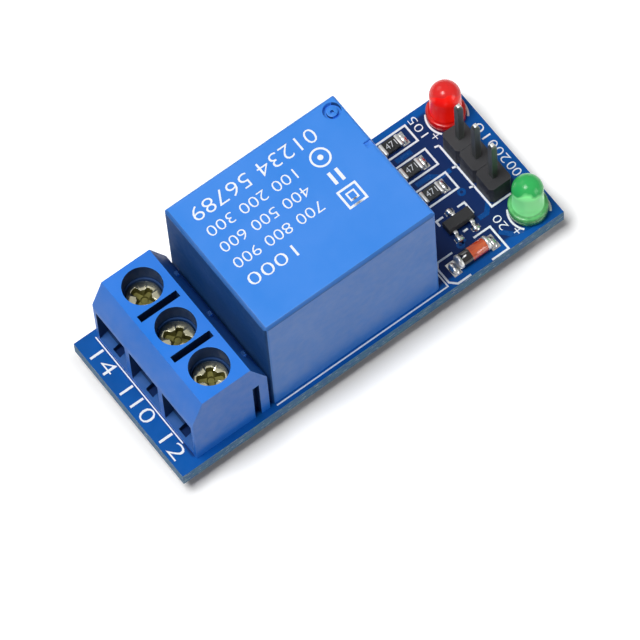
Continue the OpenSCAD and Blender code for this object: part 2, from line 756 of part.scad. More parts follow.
// A folded contact strip: a pin, an upright and an arm that crosses the relay at height z
module contact_strip(side, z) {
    x0 = switch_x - strip_w / 2;
    x1 = switch_x + strip_w / 2;
    outer = side * (pin_y + strip_t / 2);
    inner = side * (pin_y - strip_t / 2);
    tip = -side * (button_d / 2 + button_lap);
    slab([x0, min(inner, outer), works_z], [x1, max(inner, outer), z + strip_t]);
    slab([x0, min(tip, outer), z], [x1, max(tip, outer), z + strip_t]);
    bar(switch_x, side * pin_y, 0, works_z + eps, pin_w, strip_t);
}

module nc_terminal() {
    color([0.78, 0.55, 0.35]) contact_strip(-1, nc_z + button_t);
}

module nc_contact() {
    color([0.86, 0.86, 0.82]) translate([switch_x, 0, nc_z]) cylinder(h = button_t, d = button_d);
}

module no_terminal() {
    color([0.78, 0.55, 0.35]) contact_strip(1, no_z - button_t - strip_t);
}

module no_contact() {
    color([0.86, 0.86, 0.82]) translate([switch_x, 0, no_z - button_t])
        cylinder(h = button_t, d = button_d);
}

module coil_pin(side) {
    color(tin) bar(coil_pin_x, side * pin_y, 0, bobbin_z + bobbin_foot_t + coil_pin_top,
                   coil_pin_sq, coil_pin_sq);
}

// ---------- header ----------

module header_housing() {
    color([0.1, 0.1, 0.1]) difference() {
        translate([header_x, header_shift, top_z]) linear_extrude(header_h)
            for (n = [-1:1])
                translate([0, n * pin_pitch]) polygon([
                    for (c = [[1, 1, 0], [1, 1, 1], [-1, 1, 1], [-1, 1, 0],
                              [-1, -1, 0], [-1, -1, 1], [1, -1, 1], [1, -1, 0]])
                        [c[0] * (header_w / 2 - c[2] * corner_cut),
                         c[1] * (pin_pitch / 2 + eps / 4 - (1 - c[2]) * corner_cut)]]);
        for (n = [-1:1])
            bar(header_x, header_shift + n * pin_pitch, top_z - 1, top_z + header_h + 1,
                pin_sq, pin_sq);
    }
}

module header_pin(n) {
    tip = 0.5;
    y = header_shift + (n - 2) * pin_pitch;
    color([0.7, 0.68, 0.6]) intersection() {
        bar(header_x, y, 0, top_z + pin_h, pin_sq, pin_sq);
        along_y(y - 1, y + 1) polygon([
            [header_x - pin_sq / 2, 0], [header_x + pin_sq / 2, 0],
            [header_x + pin_sq / 2, top_z + pin_h - tip], [header_x + pin_sq / 4, top_z + pin_h],
            [header_x - pin_sq / 4, top_z + pin_h], [header_x - pin_sq / 2, top_z + pin_h - tip]]);
        along_x(header_x - 1, header_x + 1) polygon([
            [y - pin_sq / 2, 0], [y + pin_sq / 2, 0],
            [y + pin_sq / 2, top_z + pin_h - tip], [y + pin_sq / 4, top_z + pin_h],
            [y - pin_sq / 4, top_z + pin_h], [y - pin_sq / 2, top_z + pin_h - tip]]);
    }
}

// ---------- indicator lamps ----------

// The post that carries the bond wire, with its lead
module anode(side) {
    y = side * lamp_off - lamp_lead_pitch / 2;
    low = frame_z(side);
    bar(lamp_x, y, 0, low + eps, lamp_lead, lamp_lead);
    slab([lamp_x - lamp_lead / 2, y - lamp_lead / 2, low],
         [lamp_x + lamp_lead / 2, side * lamp_off - post_gap, low + post_t]);
}

// The wider post with the cup that the light-emitting chip lies in
module cathode(side) {
    y = side * lamp_off + lamp_lead_pitch / 2;
    low = frame_z(side);
    bar(lamp_x, y, 0, low + eps, lamp_lead, lamp_lead);
    slab([lamp_x - lamp_lead / 2, side * lamp_off - cup_lap, low],
         [lamp_x + lamp_lead / 2, y + lamp_lead / 2, low + post_t]);
}

module chip(side) {
    low = frame_z(side) + post_t;
    bar(lamp_x, side * lamp_off + chip_y, low, low + chip_t, chip_sq, chip_sq);
}

module lens(side) {
    low = lamp_z(side);
    difference() {
        translate([lamp_x, side * lamp_off, low]) rotate_extrude() union() {
            square([rim_d / 2, rim_t]);
            square([lamp_d / 2, lamp_h - lamp_d / 2]);
            intersection() {
                translate([0, lamp_h - lamp_d / 2]) circle(d = lamp_d);
                square([lamp_d, lamp_h + 1]);
            }
        }
        // the flat on the rim, beside the cathode
        slab([lamp_x - rim_d, side * lamp_off + lamp_d / 2 + rim_flat, low - 1],
             [lamp_x + rim_d, side * lamp_off + rim_d, low + rim_t + eps]);
        anode(side);
        cathode(side);
        chip(side);
    }
}

// ---------- surface-mounted parts ----------

function resistor_row(n) = resistor_y + (3 - n) * resistor_pitch;

module resistor(n) {
    color([0.15, 0.15, 0.16])
        bar(chip_x, resistor_row(n), top_z, top_z + resistor_t - 0.03,
            resistor_l - 2 * resistor_cap, resistor_w);
}

module resistor_caps(n) {
    color(tin) for (s = [-1, 1])
        bar(chip_x + s * (resistor_l - resistor_cap) / 2, resistor_row(n),
            top_z, top_z + resistor_t, resistor_cap, resistor_w);
}

module transistor_body() {
    half = transistor_w / 2;
    inner = half - transistor_draft;
    color([0.12, 0.12, 0.13])
        along_x(transistor_x - transistor_l / 2, transistor_x + transistor_l / 2)
            translate([transistor_y, top_z]) polygon([
                [-inner, transistor_foot], [inner, transistor_foot], [half, transistor_mid],
                [inner, transistor_h], [-inner, transistor_h], [-half, transistor_mid]]);
}

// A gull-wing lead, from its toe on the board to the body's side at mid height
module gull_wing() {
    half = transistor_w / 2;
    toe = transistor_span / 2;
    knee = (half + toe) / 2;
    t = transistor_strip;
    low = transistor_mid - t / 2;
    high = transistor_mid + t / 2;
    along_x(-transistor_lead / 2, transistor_lead / 2) polygon([
        [toe, 0], [toe, t], [knee + t, t], [knee + t / 2, high], [half - 0.02, high],
        [half, transistor_mid], [half - 0.02, low], [knee - t / 2, low], [knee, 0]]);
}

module transistor_leads() {
    color(tin) difference() {
        union() {
            translate([transistor_x, transistor_y, top_z]) gull_wing();
            for (s = [-1, 1])
                translate([transistor_x + s * transistor_pitch / 2, transistor_y, top_z])
                    rotate([0, 0, 180]) gull_wing();
        }
        transistor_body();
    }
}

module diode_barrel(x0, x1, r) {
    translate([x0, diode_y, top_z + diode_d / 2]) rotate([0, 90, 0])
        cylinder(h = x1 - x0, r = r);
}

module diode_glass() {
    color([0.85, 0.3, 0.12])
        diode_barrel(diode_x - diode_l / 2 + diode_cap, diode_x + diode_l / 2 - diode_cap,
                     diode_d / 2 - 0.03);
}

module diode_end(side) {
    x = diode_x + side * (diode_l / 2 - diode_cap / 2);
    color(tin) diode_barrel(x - diode_cap / 2, x + diode_cap / 2, diode_d / 2);
}

// ---------- assembly ----------

pcb();
silkscreen();
smd_solder();
tht_solder();
terminal_housing();
for (n = [1:poles]) {
    terminal_screw(n);
    wire_clamp(n);
    terminal_contact(n);
}
relay_cover();
relay_base();
coil_bobbin();
coil_winding();
core();
yoke();
armature();
contact_spring();
moving_contact();
nc_terminal();
nc_contact();
no_terminal();
no_contact();
coil_pin(-1);  // coil_pin_1
coil_pin(1);  // coil_pin_2
header_housing();
for (n = [1:3])
    header_pin(n);
for (lamp = lamps) {
    color(lamp[0]) lens(lamp[1]);
    color(tin) anode(lamp[1]);
    color(tin) cathode(lamp[1]);
    color("gold") chip(lamp[1]);
}
for (n = [1:3]) {
    resistor(n);
    resistor_caps(n);
}
transistor_body();
transistor_leads();
diode_glass();
diode_end(-1);  // diode_cap_1
diode_end(1);  // diode_cap_2
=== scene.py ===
"""The looks of a one-channel relay module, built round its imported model.

Every shape is modelled in millimetres and brought to metres as it becomes an object.
"""

import math

import bmesh
import bpy
from bpy.props import FloatProperty, FloatVectorProperty, PointerProperty
from bpy.types import Operator, Panel, PropertyGroup
from mathutils import Matrix, Quaternion, Vector


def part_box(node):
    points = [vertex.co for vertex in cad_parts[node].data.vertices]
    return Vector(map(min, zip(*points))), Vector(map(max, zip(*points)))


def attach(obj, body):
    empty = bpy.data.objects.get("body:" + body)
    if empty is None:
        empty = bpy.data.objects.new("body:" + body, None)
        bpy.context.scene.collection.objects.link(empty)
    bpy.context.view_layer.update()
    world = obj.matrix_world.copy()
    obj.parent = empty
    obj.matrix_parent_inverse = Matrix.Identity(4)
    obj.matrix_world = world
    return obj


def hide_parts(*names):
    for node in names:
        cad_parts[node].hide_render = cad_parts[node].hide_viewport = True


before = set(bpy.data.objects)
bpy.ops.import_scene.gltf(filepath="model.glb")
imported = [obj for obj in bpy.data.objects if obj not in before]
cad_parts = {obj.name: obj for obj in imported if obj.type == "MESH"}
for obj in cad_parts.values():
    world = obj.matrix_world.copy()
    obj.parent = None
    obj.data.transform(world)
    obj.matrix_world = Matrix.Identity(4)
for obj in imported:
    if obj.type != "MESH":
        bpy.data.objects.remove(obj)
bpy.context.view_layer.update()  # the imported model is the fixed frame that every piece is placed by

bl_info = {
    "name": "Relay module",
    "version": (1, 0, 0),
    "blender": (4, 5, 0),
    "location": "3D View > Sidebar > Relay module",
    "description": "Finishes the pieces of a one-channel relay module and lights them",
    "category": "Add Mesh",
}

MM = 0.001
POLES = (1, 2, 3)
SIDES = (-1, 1)
LAMPS = ("red", "green")


def box(node):
    """The lowest and highest corner of a CAD node, in millimetres."""
    low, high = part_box(node)
    return low / MM, high / MM


def middle(node):
    """The middle of a CAD node's box, in millimetres."""
    low, high = box(node)
    return (low + high) / 2


BOARD_LOW, BOARD_HIGH = box("pcb")
TOP = BOARD_HIGH.z
COVER_LOW, COVER_HIGH = box("relay_cover")
HOUSING_LOW, HOUSING_HIGH = box("terminal_housing")


# ---------- settings ----------


def tone(red, green, blue):
    """A colour given as 0 to 255 on a screen, as the linear colour that Blender works in."""
    shares = (channel / 255 for channel in (red, green, blue))
    return tuple(s / 12.92 if s <= 0.04045 else ((s + 0.055) / 1.055) ** 2.4 for s in shares)


def colour_property(name, description, *channels):
    """A colour for a user to change, given as 0 to 255 on a screen."""
    return FloatVectorProperty(
        name=name, description=description, default=tone(*channels), subtype="COLOR", min=0, max=1)


def share_property(name, description, default, top=1.0):
    """A plain number for a user to change, from 0 to top."""
    return FloatProperty(name=name, description=description, default=default, min=0, max=top)


def length_property(name, description, default, least=0.01, most=2.0):
    """A length in millimetres for a user to change."""
    return FloatProperty(
        name=name, description=f"{description}, in millimetres",
        default=default, min=least, max=most)


def angle_property(name, description, degrees):
    """An angle for a user to change."""
    return FloatProperty(
        name=name, description=description, default=math.radians(degrees), subtype="ANGLE")


class ModuleColours(PropertyGroup):
    cover: colour_property("Cover", "Moulded plastic of the relay's cover", 54, 138, 236)
    housing: colour_property("Housing", "Moulded plastic of the terminal block", 18, 124, 232)
    mask_copper: colour_property("Mask on copper", "Solder mask over copper", 4, 92, 178)
    mask_bare: colour_property("Mask on laminate", "Solder mask over laminate", 14, 44, 98)
    laminate: colour_property("Laminate", "Cut edge of the glass laminate", 62, 128, 142)
    ink: colour_property("Ink", "Printed marks", 244, 248, 252)
    black: colour_property("Black plastic", "Plastic of the header", 30, 30, 34)
    red_lamp: colour_property("Red lamp", "Tinted epoxy of the red lamp", 218, 38, 36)
    green_lamp: colour_property("Green lamp", "Tinted epoxy of the green lamp", 50, 172, 88)
    red_glow: colour_property("Red glow", "Where the red lamp gathers light", 255, 26, 14)
    green_glow: colour_property("Green glow", "Where the green lamp gathers light", 138, 246, 154)


class ModuleSizes(PropertyGroup):
    edge: length_property("Moulded edge", "Radius of a moulded edge", 0.12, 0.02, 0.3)
    thread_pitch: length_property("Thread pitch", "Pitch of the terminal screws", 0.45, 0.3, 0.7)
    ink_height: length_property("Ink height", "Thickness of the printed ink", 0.03, 0.01, 0.06)


class StudioSettings(PropertyGroup):
    azimuth: angle_property("Azimuth", "Turn of the camera round the module", -31.785)
    elevation: angle_property("Elevation", "Height of the camera above the horizon", 64.215)
    roll: angle_property("Roll", "Turn of the picture about the line of sight", -5.564)
    distance: FloatProperty(
        name="Distance", description="Distance of the camera from its target",
        default=0.5973, unit="LENGTH")
    target: FloatVectorProperty(
        name="Target", description="Point that the camera looks at",
        default=(-0.00328, -0.00466, 0.00625), subtype="TRANSLATION")
    lens: FloatProperty(
        name="Lens", description="Focal length on a 36 mm sensor", default=369.1, min=20, max=800)
    sky: share_property("Sky", "Strength of the even light from all round", 0.12, 2)
    gloss: share_property("Gloss", "Brightness of the walls that glossy pieces mirror", 0.5, 2)
    key: share_property("Key", "Light of the broad lamp overhead", 0.82, 2)
    back: share_property("Back", "Light of the lamp behind the module", 0.12, 2)
    fill: share_property("Fill", "Light of the lamp low on the near side", 0.245, 2)
    paper_glow: share_property("Paper glow", "White that the floor shows by itself", 0.32)


def in_scene(name, data):
    """Makes an object and puts it in the scene."""
    thing = bpy.data.objects.new(name, data)
    bpy.context.scene.collection.objects.link(thing)
    return thing


# ---------- shapes ----------


def block(bm, low, high):
    """Adds a box between two corners and returns its vertices."""
    low, high = Vector(low), Vector(high)
    place = Matrix.Translation((low + high) / 2) @ Matrix.Diagonal((high - low).to_4d())
    place[3][3] = 1
    return bmesh.ops.create_cube(bm, size=1, matrix=place)["verts"]


def post(bm, centre, z0, z1, radius, top_radius=None, segments=40):
    """Adds an upright cylinder or cone and returns its vertices."""
    place = Matrix.Translation((centre[0], centre[1], (z0 + z1) / 2))
    return bmesh.ops.create_cone(
        bm, cap_ends=True, segments=segments, radius1=radius,
        radius2=radius if top_radius is None else top_radius,
        depth=z1 - z0, matrix=place)["verts"]


def lathe(profile, centre, steps, axis=(0, 0, 1), bm=None):
    """Turns a profile of (radius, height) points round an axis, in a new bmesh if none is given."""
    bm = bmesh.new() if bm is None else bm
    turn = Vector((0, 0, 1)).rotation_difference(Vector(axis)).to_matrix().to_4x4()
    place = Matrix.Translation(centre) @ turn
    points = [bm.verts.new(place @ Vector((r, 0, z))) for r, z in profile]
    edges = [bm.edges.new(pair) for pair in zip(points, points[1:])]
    bmesh.ops.spin(
        bm, geom=points + edges, cent=Vector(centre), axis=Vector(axis),
        angle=math.tau, steps=steps, use_merge=True, use_duplicate=False)
    bmesh.ops.remove_doubles(bm, verts=bm.verts, dist=1e-5)
    return bm


def arc(centre, radius, start, stop, count):
    """Points of a (radius, height) profile along an arc, with its angles in degrees."""
    angles = (math.radians(start + (stop - start) * i / count) for i in range(count + 1))
    return [(centre[0] + radius * math.cos(a), centre[1] + radius * math.sin(a)) for a in angles]


def cad_shape(node):
    """A copy of a CAD node's mesh in millimetres, merged into whole faces."""
    bm = bmesh.new()
    bm.from_mesh(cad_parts[node].data)
    bmesh.ops.scale(bm, vec=Vector((1, 1, 1)) / MM, verts=bm.verts)
    bmesh.ops.remove_doubles(bm, verts=bm.verts, dist=0.002)
    bmesh.ops.dissolve_limit(
        bm, angle_limit=math.radians(1), verts=bm.verts, edges=bm.edges, delimit=set())
    return bm


def islands(node):
    """The boxes of the separate solids that a CAD node holds, in order along X and then Y."""
    bm = cad_shape(node)
    waiting, boxes = set(bm.verts), []
    while waiting:
        group, reached = [], [waiting.pop()]
        while reached:
            vert = reached.pop()
            group.append(vert.co.copy())
            beyond = {edge.other_vert(vert) for edge in vert.link_edges} & waiting
            waiting -= beyond
            reached.extend(beyond)
        boxes.append(tuple(
            Vector(pick(co[i] for co in group) for i in range(3)) for pick in (min, max)))
    bm.free()
    return sorted(boxes, key=lambda corners: (round(corners[0].x, 2), round(corners[0].y, 2)))


def bevel(bm, edges, width, segments):
    """Rounds edges and returns the faces that do it."""
    return bmesh.ops.bevel(
        bm, geom=edges, offset=width, affect="EDGES", segments=segments, profile=0.5,
        material=-1, clamp_overlap=True)["faces"]


def soften(bm, width, segments=2, angle=35):
    """Rounds the edges that turn by more than angle degrees."""
    sharp = [e for e in bm.edges if e.is_manifold and e.calc_face_angle(0) > math.radians(angle)]
    bevel(bm, sharp, width, segments)


def upright(verts, rise=1):
    """The edges at some vertices that rise by more than a length."""
    edges = {edge for vert in verts for edge in vert.link_edges}
    return [e for e in edges if abs(e.verts[0].co.z - e.verts[1].co.z) > rise]


def mesh_of(name, bm, smooth=40):
    """Closes a bmesh into a mesh in metres, smooth where it turns by less than an angle."""
    bmesh.ops.remove_doubles(bm, verts=bm.verts, dist=1e-5)
    bmesh.ops.recalc_face_normals(bm, faces=bm.faces)
    mesh = bpy.data.meshes.new(name)
    bm.to_mesh(mesh)
    bm.free()
    mesh.transform(Matrix.Scale(MM, 4))
    mesh.shade_smooth()
    mesh.set_sharp_from_angle(angle=math.radians(smooth))
    return mesh


def carved(solid, cutter):
    """Cuts one bmesh solid out of another and returns what is left."""
    things = []
    for bm in (solid, cutter):
        bmesh.ops.recalc_face_normals(bm, faces=bm.faces)
        mesh = bpy.data.meshes.new("carving")
        bm.to_mesh(mesh)
        bm.free()
        things.append(in_scene("carving", mesh))
    cut = things[0].modifiers.new("Cut", "BOOLEAN")
    cut.operation, cut.solver, cut.object, cut.use_self = "DIFFERENCE", "EXACT", things[1], True
    scene_now = bpy.context.evaluated_depsgraph_get()
    result = bmesh.new()
    result.from_mesh(things[0].evaluated_get(scene_now).to_mesh())
    for thing in things:
        mesh = thing.data
        bpy.data.objects.remove(thing)
        bpy.data.meshes.remove(mesh)
    return result


THIN_STROKE = -0.012  # offset of a letter's outline, which thins its strokes


def flat_text(bm, words, length, height, place):
    """Adds words in the built-in font, stretched to a length and a height and centred on place."""
    curve = bpy.data.curves.new("words", "FONT")
    curve.body = words
    curve.resolution_u = 3
    curve.offset = THIN_STROKE
    thing = in_scene("words", curve)
    scene_now = bpy.context.evaluated_depsgraph_get()
    mesh = bpy.data.meshes.new_from_object(thing.evaluated_get(scene_now))
    xs, ys = ([v.co[i] for v in mesh.vertices] for i in (0, 1))
    centre = Vector((min(xs) + max(xs), min(ys) + max(ys), 0)) / 2
    stretch = Matrix.Diagonal((length / (max(xs) - min(xs)), height / (max(ys) - min(ys)), 1, 1))
    mesh.transform(place @ stretch @ Matrix.Translation(-centre))
    bm.from_mesh(mesh)
    bpy.data.objects.remove(thing)
    bpy.data.curves.remove(curve)
    bpy.data.meshes.remove(mesh)


def verts_in(geometry):
    """The vertices among the parts that a bmesh step has made."""
    return [part for part in geometry if isinstance(part, bmesh.types.BMVert)]


def stroke(bm, points, width, z):
    """Lays a flat ribbon along a line of (x, y) points, with mitred corners."""
    path = [Vector((*point, z)) for point in points]
    ways = [(b - a).normalized() for a, b in zip(path, path[1:])]
    edge, ends = None, None
    for point, before, after in zip(path, [ways[0], *ways], [*ways, ways[-1]]):
        across = Vector((-before.y - after.y, before.x + after.x, 0)).normalized()
        half = across * width / 2 / across.dot(Vector((-before.y, before.x, 0)))
        old_ends, ends = ends, (point + half, point - half)
        if edge is None:
            edge = bm.edges.new([bm.verts.new(end) for end in ends])
            continue
        grown = bmesh.ops.extrude_edge_only(bm, edges=[edge])["geom"]
        corners = verts_in(grown)
        edge = next(part for part in grown
                    if isinstance(part, bmesh.types.BMEdge) and set(part.verts) == set(corners))
        for corner in corners:
            near_first = (corner.co - old_ends[0]).length < (corner.co - old_ends[1]).length
            corner.co = ends[0] if near_first else ends[1]


def flat_ring(bm, centre, inner, outer, z, segments=40):
    """Lays a flat ring; with inner at 0 it is a disc."""
    place = Matrix.Translation((centre[0], centre[1], z))
    loops = [
        bmesh.ops.create_circle(
            bm, cap_ends=not inner, segments=segments, radius=radius, matrix=place)["verts"]
        for radius in ((inner, outer) if inner else (outer,))]
    if inner:
        rims = {edge for loop in loops for vert in loop for edge in vert.link_edges}
        bmesh.ops.bridge_loops(bm, edges=sorted(rims, key=lambda edge: edge.calc_length()))


def raise_flat(bm, height):
    """Gives flat faces a thickness upwards."""
    grown = bmesh.ops.extrude_face_region(bm, geom=list(bm.faces))["geom"]
    bmesh.ops.translate(bm, vec=(0, 0, height), verts=verts_in(grown))


# ---------- finishes ----------


class Nodes:
    """The nodes of a material or of the sky."""

    def __init__(self, owner):
        owner.use_nodes = True
        self.nodes, self.links = owner.node_tree.nodes, owner.node_tree.links

    def put(self, node, inputs):
        """Sets a node's sockets, with a link where the value is another node or socket."""
        for socket, value in inputs.items():
            if isinstance(value, bpy.types.Node):
                value = value.outputs[0]
            if isinstance(value, bpy.types.NodeSocket):
                self.links.new(value, node.inputs[socket])
            else:
                node.inputs[socket].default_value = value

    def add(self, kind, inputs=(), **options):
        """Makes a node with some of its inputs and options set."""
        node = self.nodes.new(kind)
        for option, value in options.items():
            setattr(node, option, value)
        self.put(node, dict(inputs))
        return node

    def spread(self, value, low, high, start=0.3, stop=0.7):
        """Maps a value between start and stop to one between low and high."""
        return self.add("ShaderNodeMapRange", {
            "Value": value, "From Min": start, "From Max": stop, "To Min": low, "To Max": high})

    def blend(self, factor, first, second):
        """A colour between two colours."""
        node = self.add("ShaderNodeMix", {"Factor": factor}, data_type="RGBA")
        for socket, value in (("A", first), ("B", second)):
            found = next(s for s in node.inputs if s.name == socket and s.type == "RGBA")
            if isinstance(value, bpy.types.NodeSocket):
                self.links.new(value, found)
            else:
                found.default_value = (*value, 1)
        return next(s for s in node.outputs if s.type == "RGBA")

    def math(self, operation, *values):
        return self.add("ShaderNodeMath", dict(enumerate(values)), operation=operation)

    def vector(self, operation, *values):
        return self.add("ShaderNodeVectorMath", dict(enumerate(values)), operation=operation)

    def rays(self, *kinds):
        """1 for rays of the kinds named, such as Camera, and 0 for the others."""
        path = self.add("ShaderNodeLightPath")
        seen, *others = (path.outputs[f"Is {kind} Ray"] for kind in kinds)
        for other in others:
            seen = self.math("MAXIMUM", seen, other)
        return seen


class Finish(Nodes):
    """The nodes of one material, with its patterns measured in millimetres."""

    def __init__(self, name, colour, roughness, settings=()):
        self.material = bpy.data.materials.new(name)
        super().__init__(self.material)
        self.shader = self.nodes["Principled BSDF"]
        self.put(self.shader, {
            "Base Color": (*colour, 1), "Roughness": roughness, **dict(settings)})
        place = self.add("ShaderNodeTexCoord").outputs["Object"]
        self.place = self.vector("MULTIPLY", place, (1 / MM,) * 3)

    def noise(self, per_mm, detail=3, stretch=(1, 1, 1)):
        """Noise with so many lumps to the millimetre, squeezed along the axes by stretch."""
        place = self.add("ShaderNodeMapping", {"Vector": self.place, "Scale": stretch})
        return self.add("ShaderNodeTexNoise", {"Vector": place, "Scale": per_mm, "Detail": detail})

    def axis(self, name):
        """How far along an axis a point lies, in millimetres."""
        return self.add("ShaderNodeSeparateXYZ", {0: self.place}).outputs[name]

    def bump(self, height, depth):
        """Presses a height into the surface, depth millimetres deep."""
        self.put(self.shader, {
            "Normal": self.add("ShaderNodeBump", {"Height": height, "Distance": depth * MM})})


def lighter(colour, share):
    """A colour drawn towards white by a share, or towards black if the share is negative."""
    end = 1 if share > 0 else 0
    return tuple(c + (end - c) * abs(share) for c in colour)


def moulded_plastic(name, colour, roughness=0.42, grain=0.004, shine=0.4):
    """Moulded plastic: a fine sparked grain, slow drift of tone and slightly uneven gloss."""
    finish = Finish(name, colour, roughness, {"IOR": 1.45, "Specular IOR Level": shine})
    drift = finish.spread(finish.noise(0.12, 2), 0, 1)
    finish.put(finish.shader, {
        "Base Color": finish.blend(drift, lighter(colour, -0.05), lighter(colour, 0.03)),
        "Roughness": finish.spread(finish.noise(1.2), roughness - 0.06, roughness + 0.08)})
    finish.bump(finish.noise(9, 4), grain)
    return finish.material


def solder_mask(name, colour, smoothest, roughest, shine, ripple):
    """Solder mask: a clear, uneven gloss with a slight ripple."""
    finish = Finish(name, colour, smoothest, {"IOR": 1.45, "Specular IOR Level": shine})
    finish.put(finish.shader, {"Roughness": finish.spread(finish.noise(2, 4), smoothest, roughest)})
    finish.bump(finish.noise(3), ripple)
    return finish


def plated_metal(name, colour, roughness, brushed=(1, 1, 1), stain=0.25, metallic=1.0):
    """Plated metal: gloss dulled by wear, fine scratches and patches of a darker tarnish."""
    finish = Finish(name, colour, roughness, {"Metallic": metallic})
    patches = finish.spread(finish.noise(0.7, 2), 0, 1, 0.35, 0.75)
    finish.put(finish.shader, {
        "Base Color": finish.blend(patches, colour, lighter(colour, -stain)),
        "Roughness": finish.spread(finish.noise(2, 2, brushed), roughness * 0.85, roughness * 1.3)})
    finish.bump(finish.noise(1.5, 2, brushed), 0.003)
    return finish.material


def screen_ink(name, colour, roughness=0.5, grain=0.004):
    """Screen-printed ink: matt, with a fine grain."""
    finish = Finish(name, colour, roughness)
    finish.bump(finish.noise(9, 4), grain)
    return finish.material


# ---------- placing ----------


def piece(name, bm, materials, stands_for=(), body="module", smooth=40, level=False):
    """Puts a finished shape in the scene, on its body and for the CAD nodes it stands for.

    With level, large faces set the shading, so that they look flat beside rounded edges."""
    mesh = mesh_of(name, bm, smooth)
    for material in materials:
        mesh.materials.append(material)
    thing = in_scene(name, mesh)
    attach(thing, body)
    if stands_for:
        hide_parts(*stands_for)
    if level:
        thing.modifiers.new("Level normals", "WEIGHTED_NORMAL").keep_sharp = True
    return thing


def printed(name, bm, height, ink, stands_for=()):
    """Raises flat marks to a height and makes them a piece of ink."""
    raise_flat(bm, height)
    piece(name, bm, [ink], stands_for, smooth=30)


def dress(node, material):
    """Gives a CAD node its finish."""
    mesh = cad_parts[node].data
    mesh.materials.clear()
    mesh.materials.append(material)


def finished(name, node, materials, slot, edge, segments=2, body="module"):
    """A CAD node's own shape with its edges rounded, standing for the node."""
    bm = cad_shape(node)
    soften(bm, edge, segments)
    return piece(name, bm, materials, [node], body, level=True)


# ---------- operators ----------


class RELAY_OT_board(Operator):
    """Make the circuit board, with its solder mask and its cut edges"""
    bl_idname = "relay_module.board"
    bl_label = "Board"

    RIM_LOW, RIM_HIGH = (1.9, 1.0, 0), (1.6, 0.8, 0)  # the brighter rim's widths along X and Y

    def execute(self, context):
        colours = context.scene.module_colours
        bm = cad_shape("pcb")
        for face in bm.faces:
            face.material_index = 0 if abs(face.normal.z) > 0.5 else 1
        piece("board", bm, [self.mask(colours), self.cut_edge(colours)], ["pcb"])
        return {"FINISHED"}

    def mask(self, colours):
        """Solder mask over bare laminate, with a rim where it lies on copper, whose slow drift of
        tone is a painted sheen.
        """
        mask = solder_mask("solder_mask", colours.mask_copper, 0.3, 0.42, 0.2, 0.004)
        low, high = BOARD_LOW + Vector(self.RIM_LOW), BOARD_HIGH - Vector(self.RIM_HIGH)
        inside = mask.math("MULTIPLY", self.between(mask, mask.axis("X"), low.x, high.x),
                           self.between(mask, mask.axis("Y"), low.y, high.y))
        # the rim drifts between a darker and the full copper tone, a painted broad sheen
        rim = mask.blend(mask.spread(mask.noise(0.25), 0, 1),
                         lighter(colours.mask_copper, -0.25), colours.mask_copper)
        mask.put(mask.shader, {"Base Color": mask.blend(inside, rim, colours.mask_bare)})
        return mask.material

    @staticmethod
    def between(finish, value, low, high, soft=0.15):
        """1 where a value lies between two limits and 0 outside, with a soft step."""
        rise = finish.spread(value, 0, 1, low - soft, low + soft)
        fall = finish.spread(value, 1, 0, high - soft, high + soft)
        return finish.math("MULTIPLY", rise, fall)

    @staticmethod
    def cut_edge(colours):
        """Sawn laminate: layers of glass cloth under a rub of mask, with pale flecks."""
        edge = Finish("cut_laminate", colours.laminate, 0.55, {"IOR": 1.5})
        plies = edge.noise(5, 3, (0.3, 0.3, 1.8))
        flecks = edge.spread(edge.noise(3.2, 4, (0.4, 0.4, 2.6)), 0, 0.8, 0.6, 0.7)
        layers = edge.blend(
            edge.spread(plies, 0, 1), lighter(colours.mask_copper, -0.3), colours.laminate)
        edge.put(edge.shader, {"Base Color": edge.blend(flecks, layers, tone(214, 232, 232))})
        edge.bump(plies, 0.03)
        return edge.material


class RELAY_OT_tracks(Operator):
    """Raise the copper tracks and via rings under the solder mask"""
    bl_idname = "relay_module.tracks"
    bl_label = "Tracks"

    width: length_property("Track width", "Width of a track", 0.5, 0.2, 1)
    height: length_property("Track height", "Height of the copper", 0.018, 0.01, 0.1)

    TRACKS = (  # across the driver circuit, as (x, y) points on the board's top face
        ((12.7, 5.15), (14.5, 5.15)),
        ((12.7, 2.05), (14.2, 2.05), (15.0, 1.4), (16.2, 1.4)),
        ((17.4, -2.1), (17.1, -2.6), (16.9, -3.4), (16.1, -4.2), (15.2, -4.2)),
        ((15.8, -6.4), (16.8, -7.5), (18.4, -7.7), (18.9, -7.4)),
        ((9.2, -1.0), (10.4, -1.9), (10.4, -3.4)),
        ((12.3, -5.2), (12.9, -5.0)),
    )
    VIAS = ((15.6, -1.05), (12.25, -5.3), (9.9, 5.2))
    BORE, RING = 0.16, 0.42  # radii of a via

    def execute(self, context):
        copper = context.scene.module_colours.mask_copper
        mask = solder_mask("track_mask", lighter(copper, -0.35), 0.16, 0.34, 0.3, 0.006)
        bm = bmesh.new()
        for points in self.TRACKS:
            stroke(bm, points, self.width, TOP)
        for via in self.VIAS:
            flat_ring(bm, via, self.BORE, self.RING, TOP)
        raise_flat(bm, self.height)
        piece("tracks", bm, [mask.material], smooth=30)
        return {"FINISHED"}


